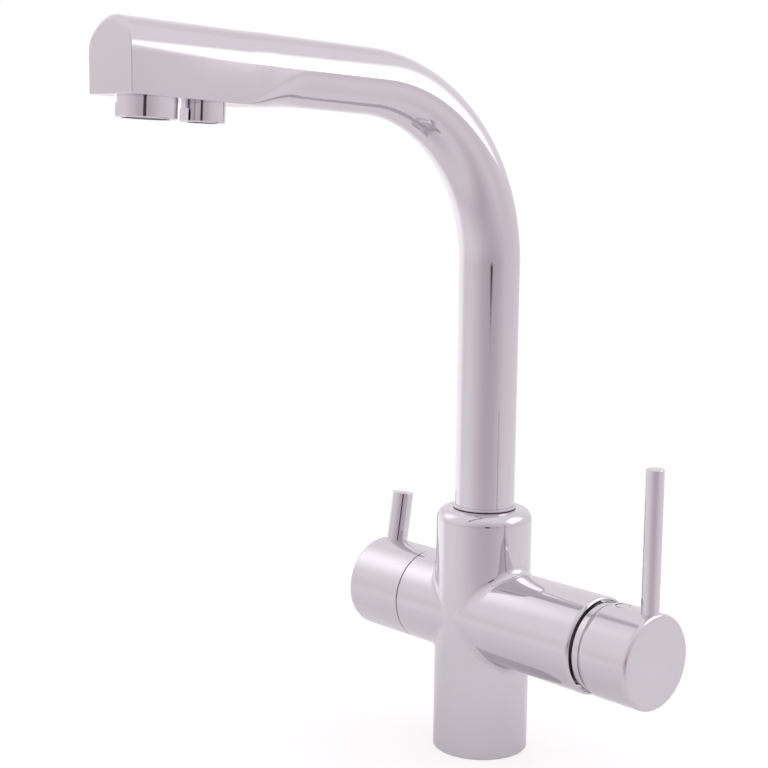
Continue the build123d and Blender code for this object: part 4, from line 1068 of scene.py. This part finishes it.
class TAP_OT_finishes(Operator):
    """Gives every piece of the frame the finish of its material slot"""
    bl_idname = "tap.finishes"
    bl_label = "Finishes"

    def execute(self, context):
        finishes = all_finishes(context.scene.tap_finishes)
        for part in frame["record"]["subparts"]:
            mesh = frame["nodes"][part["node"]].data
            mesh.materials.clear()
            mesh.materials.append(finishes[part["material_slot"]])
        return {"FINISHED"}


class TAP_OT_body(Operator):
    """Builds the cast body's skin"""
    bl_idname = "tap.body"
    bl_label = "Body"

    def execute(self, context):
        size = sizes_of(context.scene.tap_body)
        add_piece("body_skin", body_patches(size), "body_casting", "root")
        return {"FINISHED"}


class TAP_OT_spout(Operator):
    """Builds the pipe, the nose and the two outlet rings"""
    bl_idname = "tap.spout"
    bl_label = "Spout"

    def execute(self, context):
        size = sizes_of(context.scene.tap_spout)
        add_piece("pipe_skin", pipe_patches(size), "spout_tube", "spout")
        add_piece("nose_skin", nose_patches(size), "spout_head", "spout", "chrome_nose")
        for kind in ("mixed", "filtered"):
            ring = [getattr(size, f"{kind}_{name}") for name in ("reach", "radius", "drop", "bore")]
            add_piece(f"{kind}_outlet_ring", outlet_patches(size, *ring),
                      f"{kind}_outlet_housing", "spout")
        return {"FINISHED"}


class TAP_OT_handles(Operator):
    """Builds both handles and both levers"""
    bl_idname = "tap.handles"
    bl_label = "Handles and levers"

    def execute(self, context):
        size = sizes_of(context.scene.tap_handles)
        add_piece("mixer_handle_skin", mixer_handle_patches(size), "mixer_handle", "mixer")
        add_piece("mixer_nut_ring", nut_patches(size), "mixer_retaining_nut", "root")
        add_piece("filter_handle_skin", filter_handle_patches(size), "filter_handle", "filter",
                  "chrome_satin")
        sunk, lean = 2.0, size.filter_lever_lean
        add_piece("mixer_lever_skin", lever_patches(
            seat_on(size.lever_reach * X, X, Z), size.lever_radius, size.lever_top,
            size.lever_edge, ledge=size.axis_height + size.handle_radius - sunk, tenon=3.0,
            tenon_length=10.0), "mixer_lever", "mixer")
        leaning = seat_on((-size.filter_lever_reach, 0, size.axis_height), X,
                          (0, math.sin(lean), math.cos(lean)))
        add_piece("filter_lever_skin", lever_patches(
            leaning, size.filter_lever_radius, size.filter_lever_top, size.lever_edge,
            ledge=size.filter_handle_radius - sunk, tenon=3.4, tenon_length=9.5),
            "filter_lever", "filter")
        return {"FINISHED"}


class TAP_PT_panel(Panel):
    """Lists the tap's settings and building steps"""
    bl_idname = "TAP_PT_panel"
    bl_label = "Filtered water tap"
    bl_space_type = "VIEW_3D"
    bl_region_type = "UI"
    bl_category = "Tap"

    def draw(self, context):
        for group in SETTINGS:
            settings = getattr(context.scene, group)
            box = self.layout.box()
            for name in settings.__annotations__:
                box.prop(settings, name)
        for step in STEPS:
            self.layout.operator(step.bl_idname)


STEPS = (TAP_OT_finishes, TAP_OT_body, TAP_OT_spout, TAP_OT_handles, TAP_OT_stage)
SETTINGS = {"tap_body": TapBody, "tap_spout": TapSpout, "tap_handles": TapHandles,
            "tap_finishes": TapFinishes, "tap_studio": TapStudio}


def register():
    for name, group in SETTINGS.items():
        bpy.utils.register_class(group)
        setattr(bpy.types.Scene, name, PointerProperty(type=group))
    for step in (*STEPS, TAP_PT_panel):
        bpy.utils.register_class(step)


def unregister():
    for step in (TAP_PT_panel, *reversed(STEPS)):
        bpy.utils.unregister_class(step)
    for name, group in SETTINGS.items():
        delattr(bpy.types.Scene, name)
        bpy.utils.unregister_class(group)


def main():
    """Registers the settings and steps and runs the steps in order."""
    register()
    for step in STEPS:
        family, name = step.bl_idname.split(".")
        getattr(getattr(bpy.ops, family), name)()


if __name__ == "__main__":
    main()
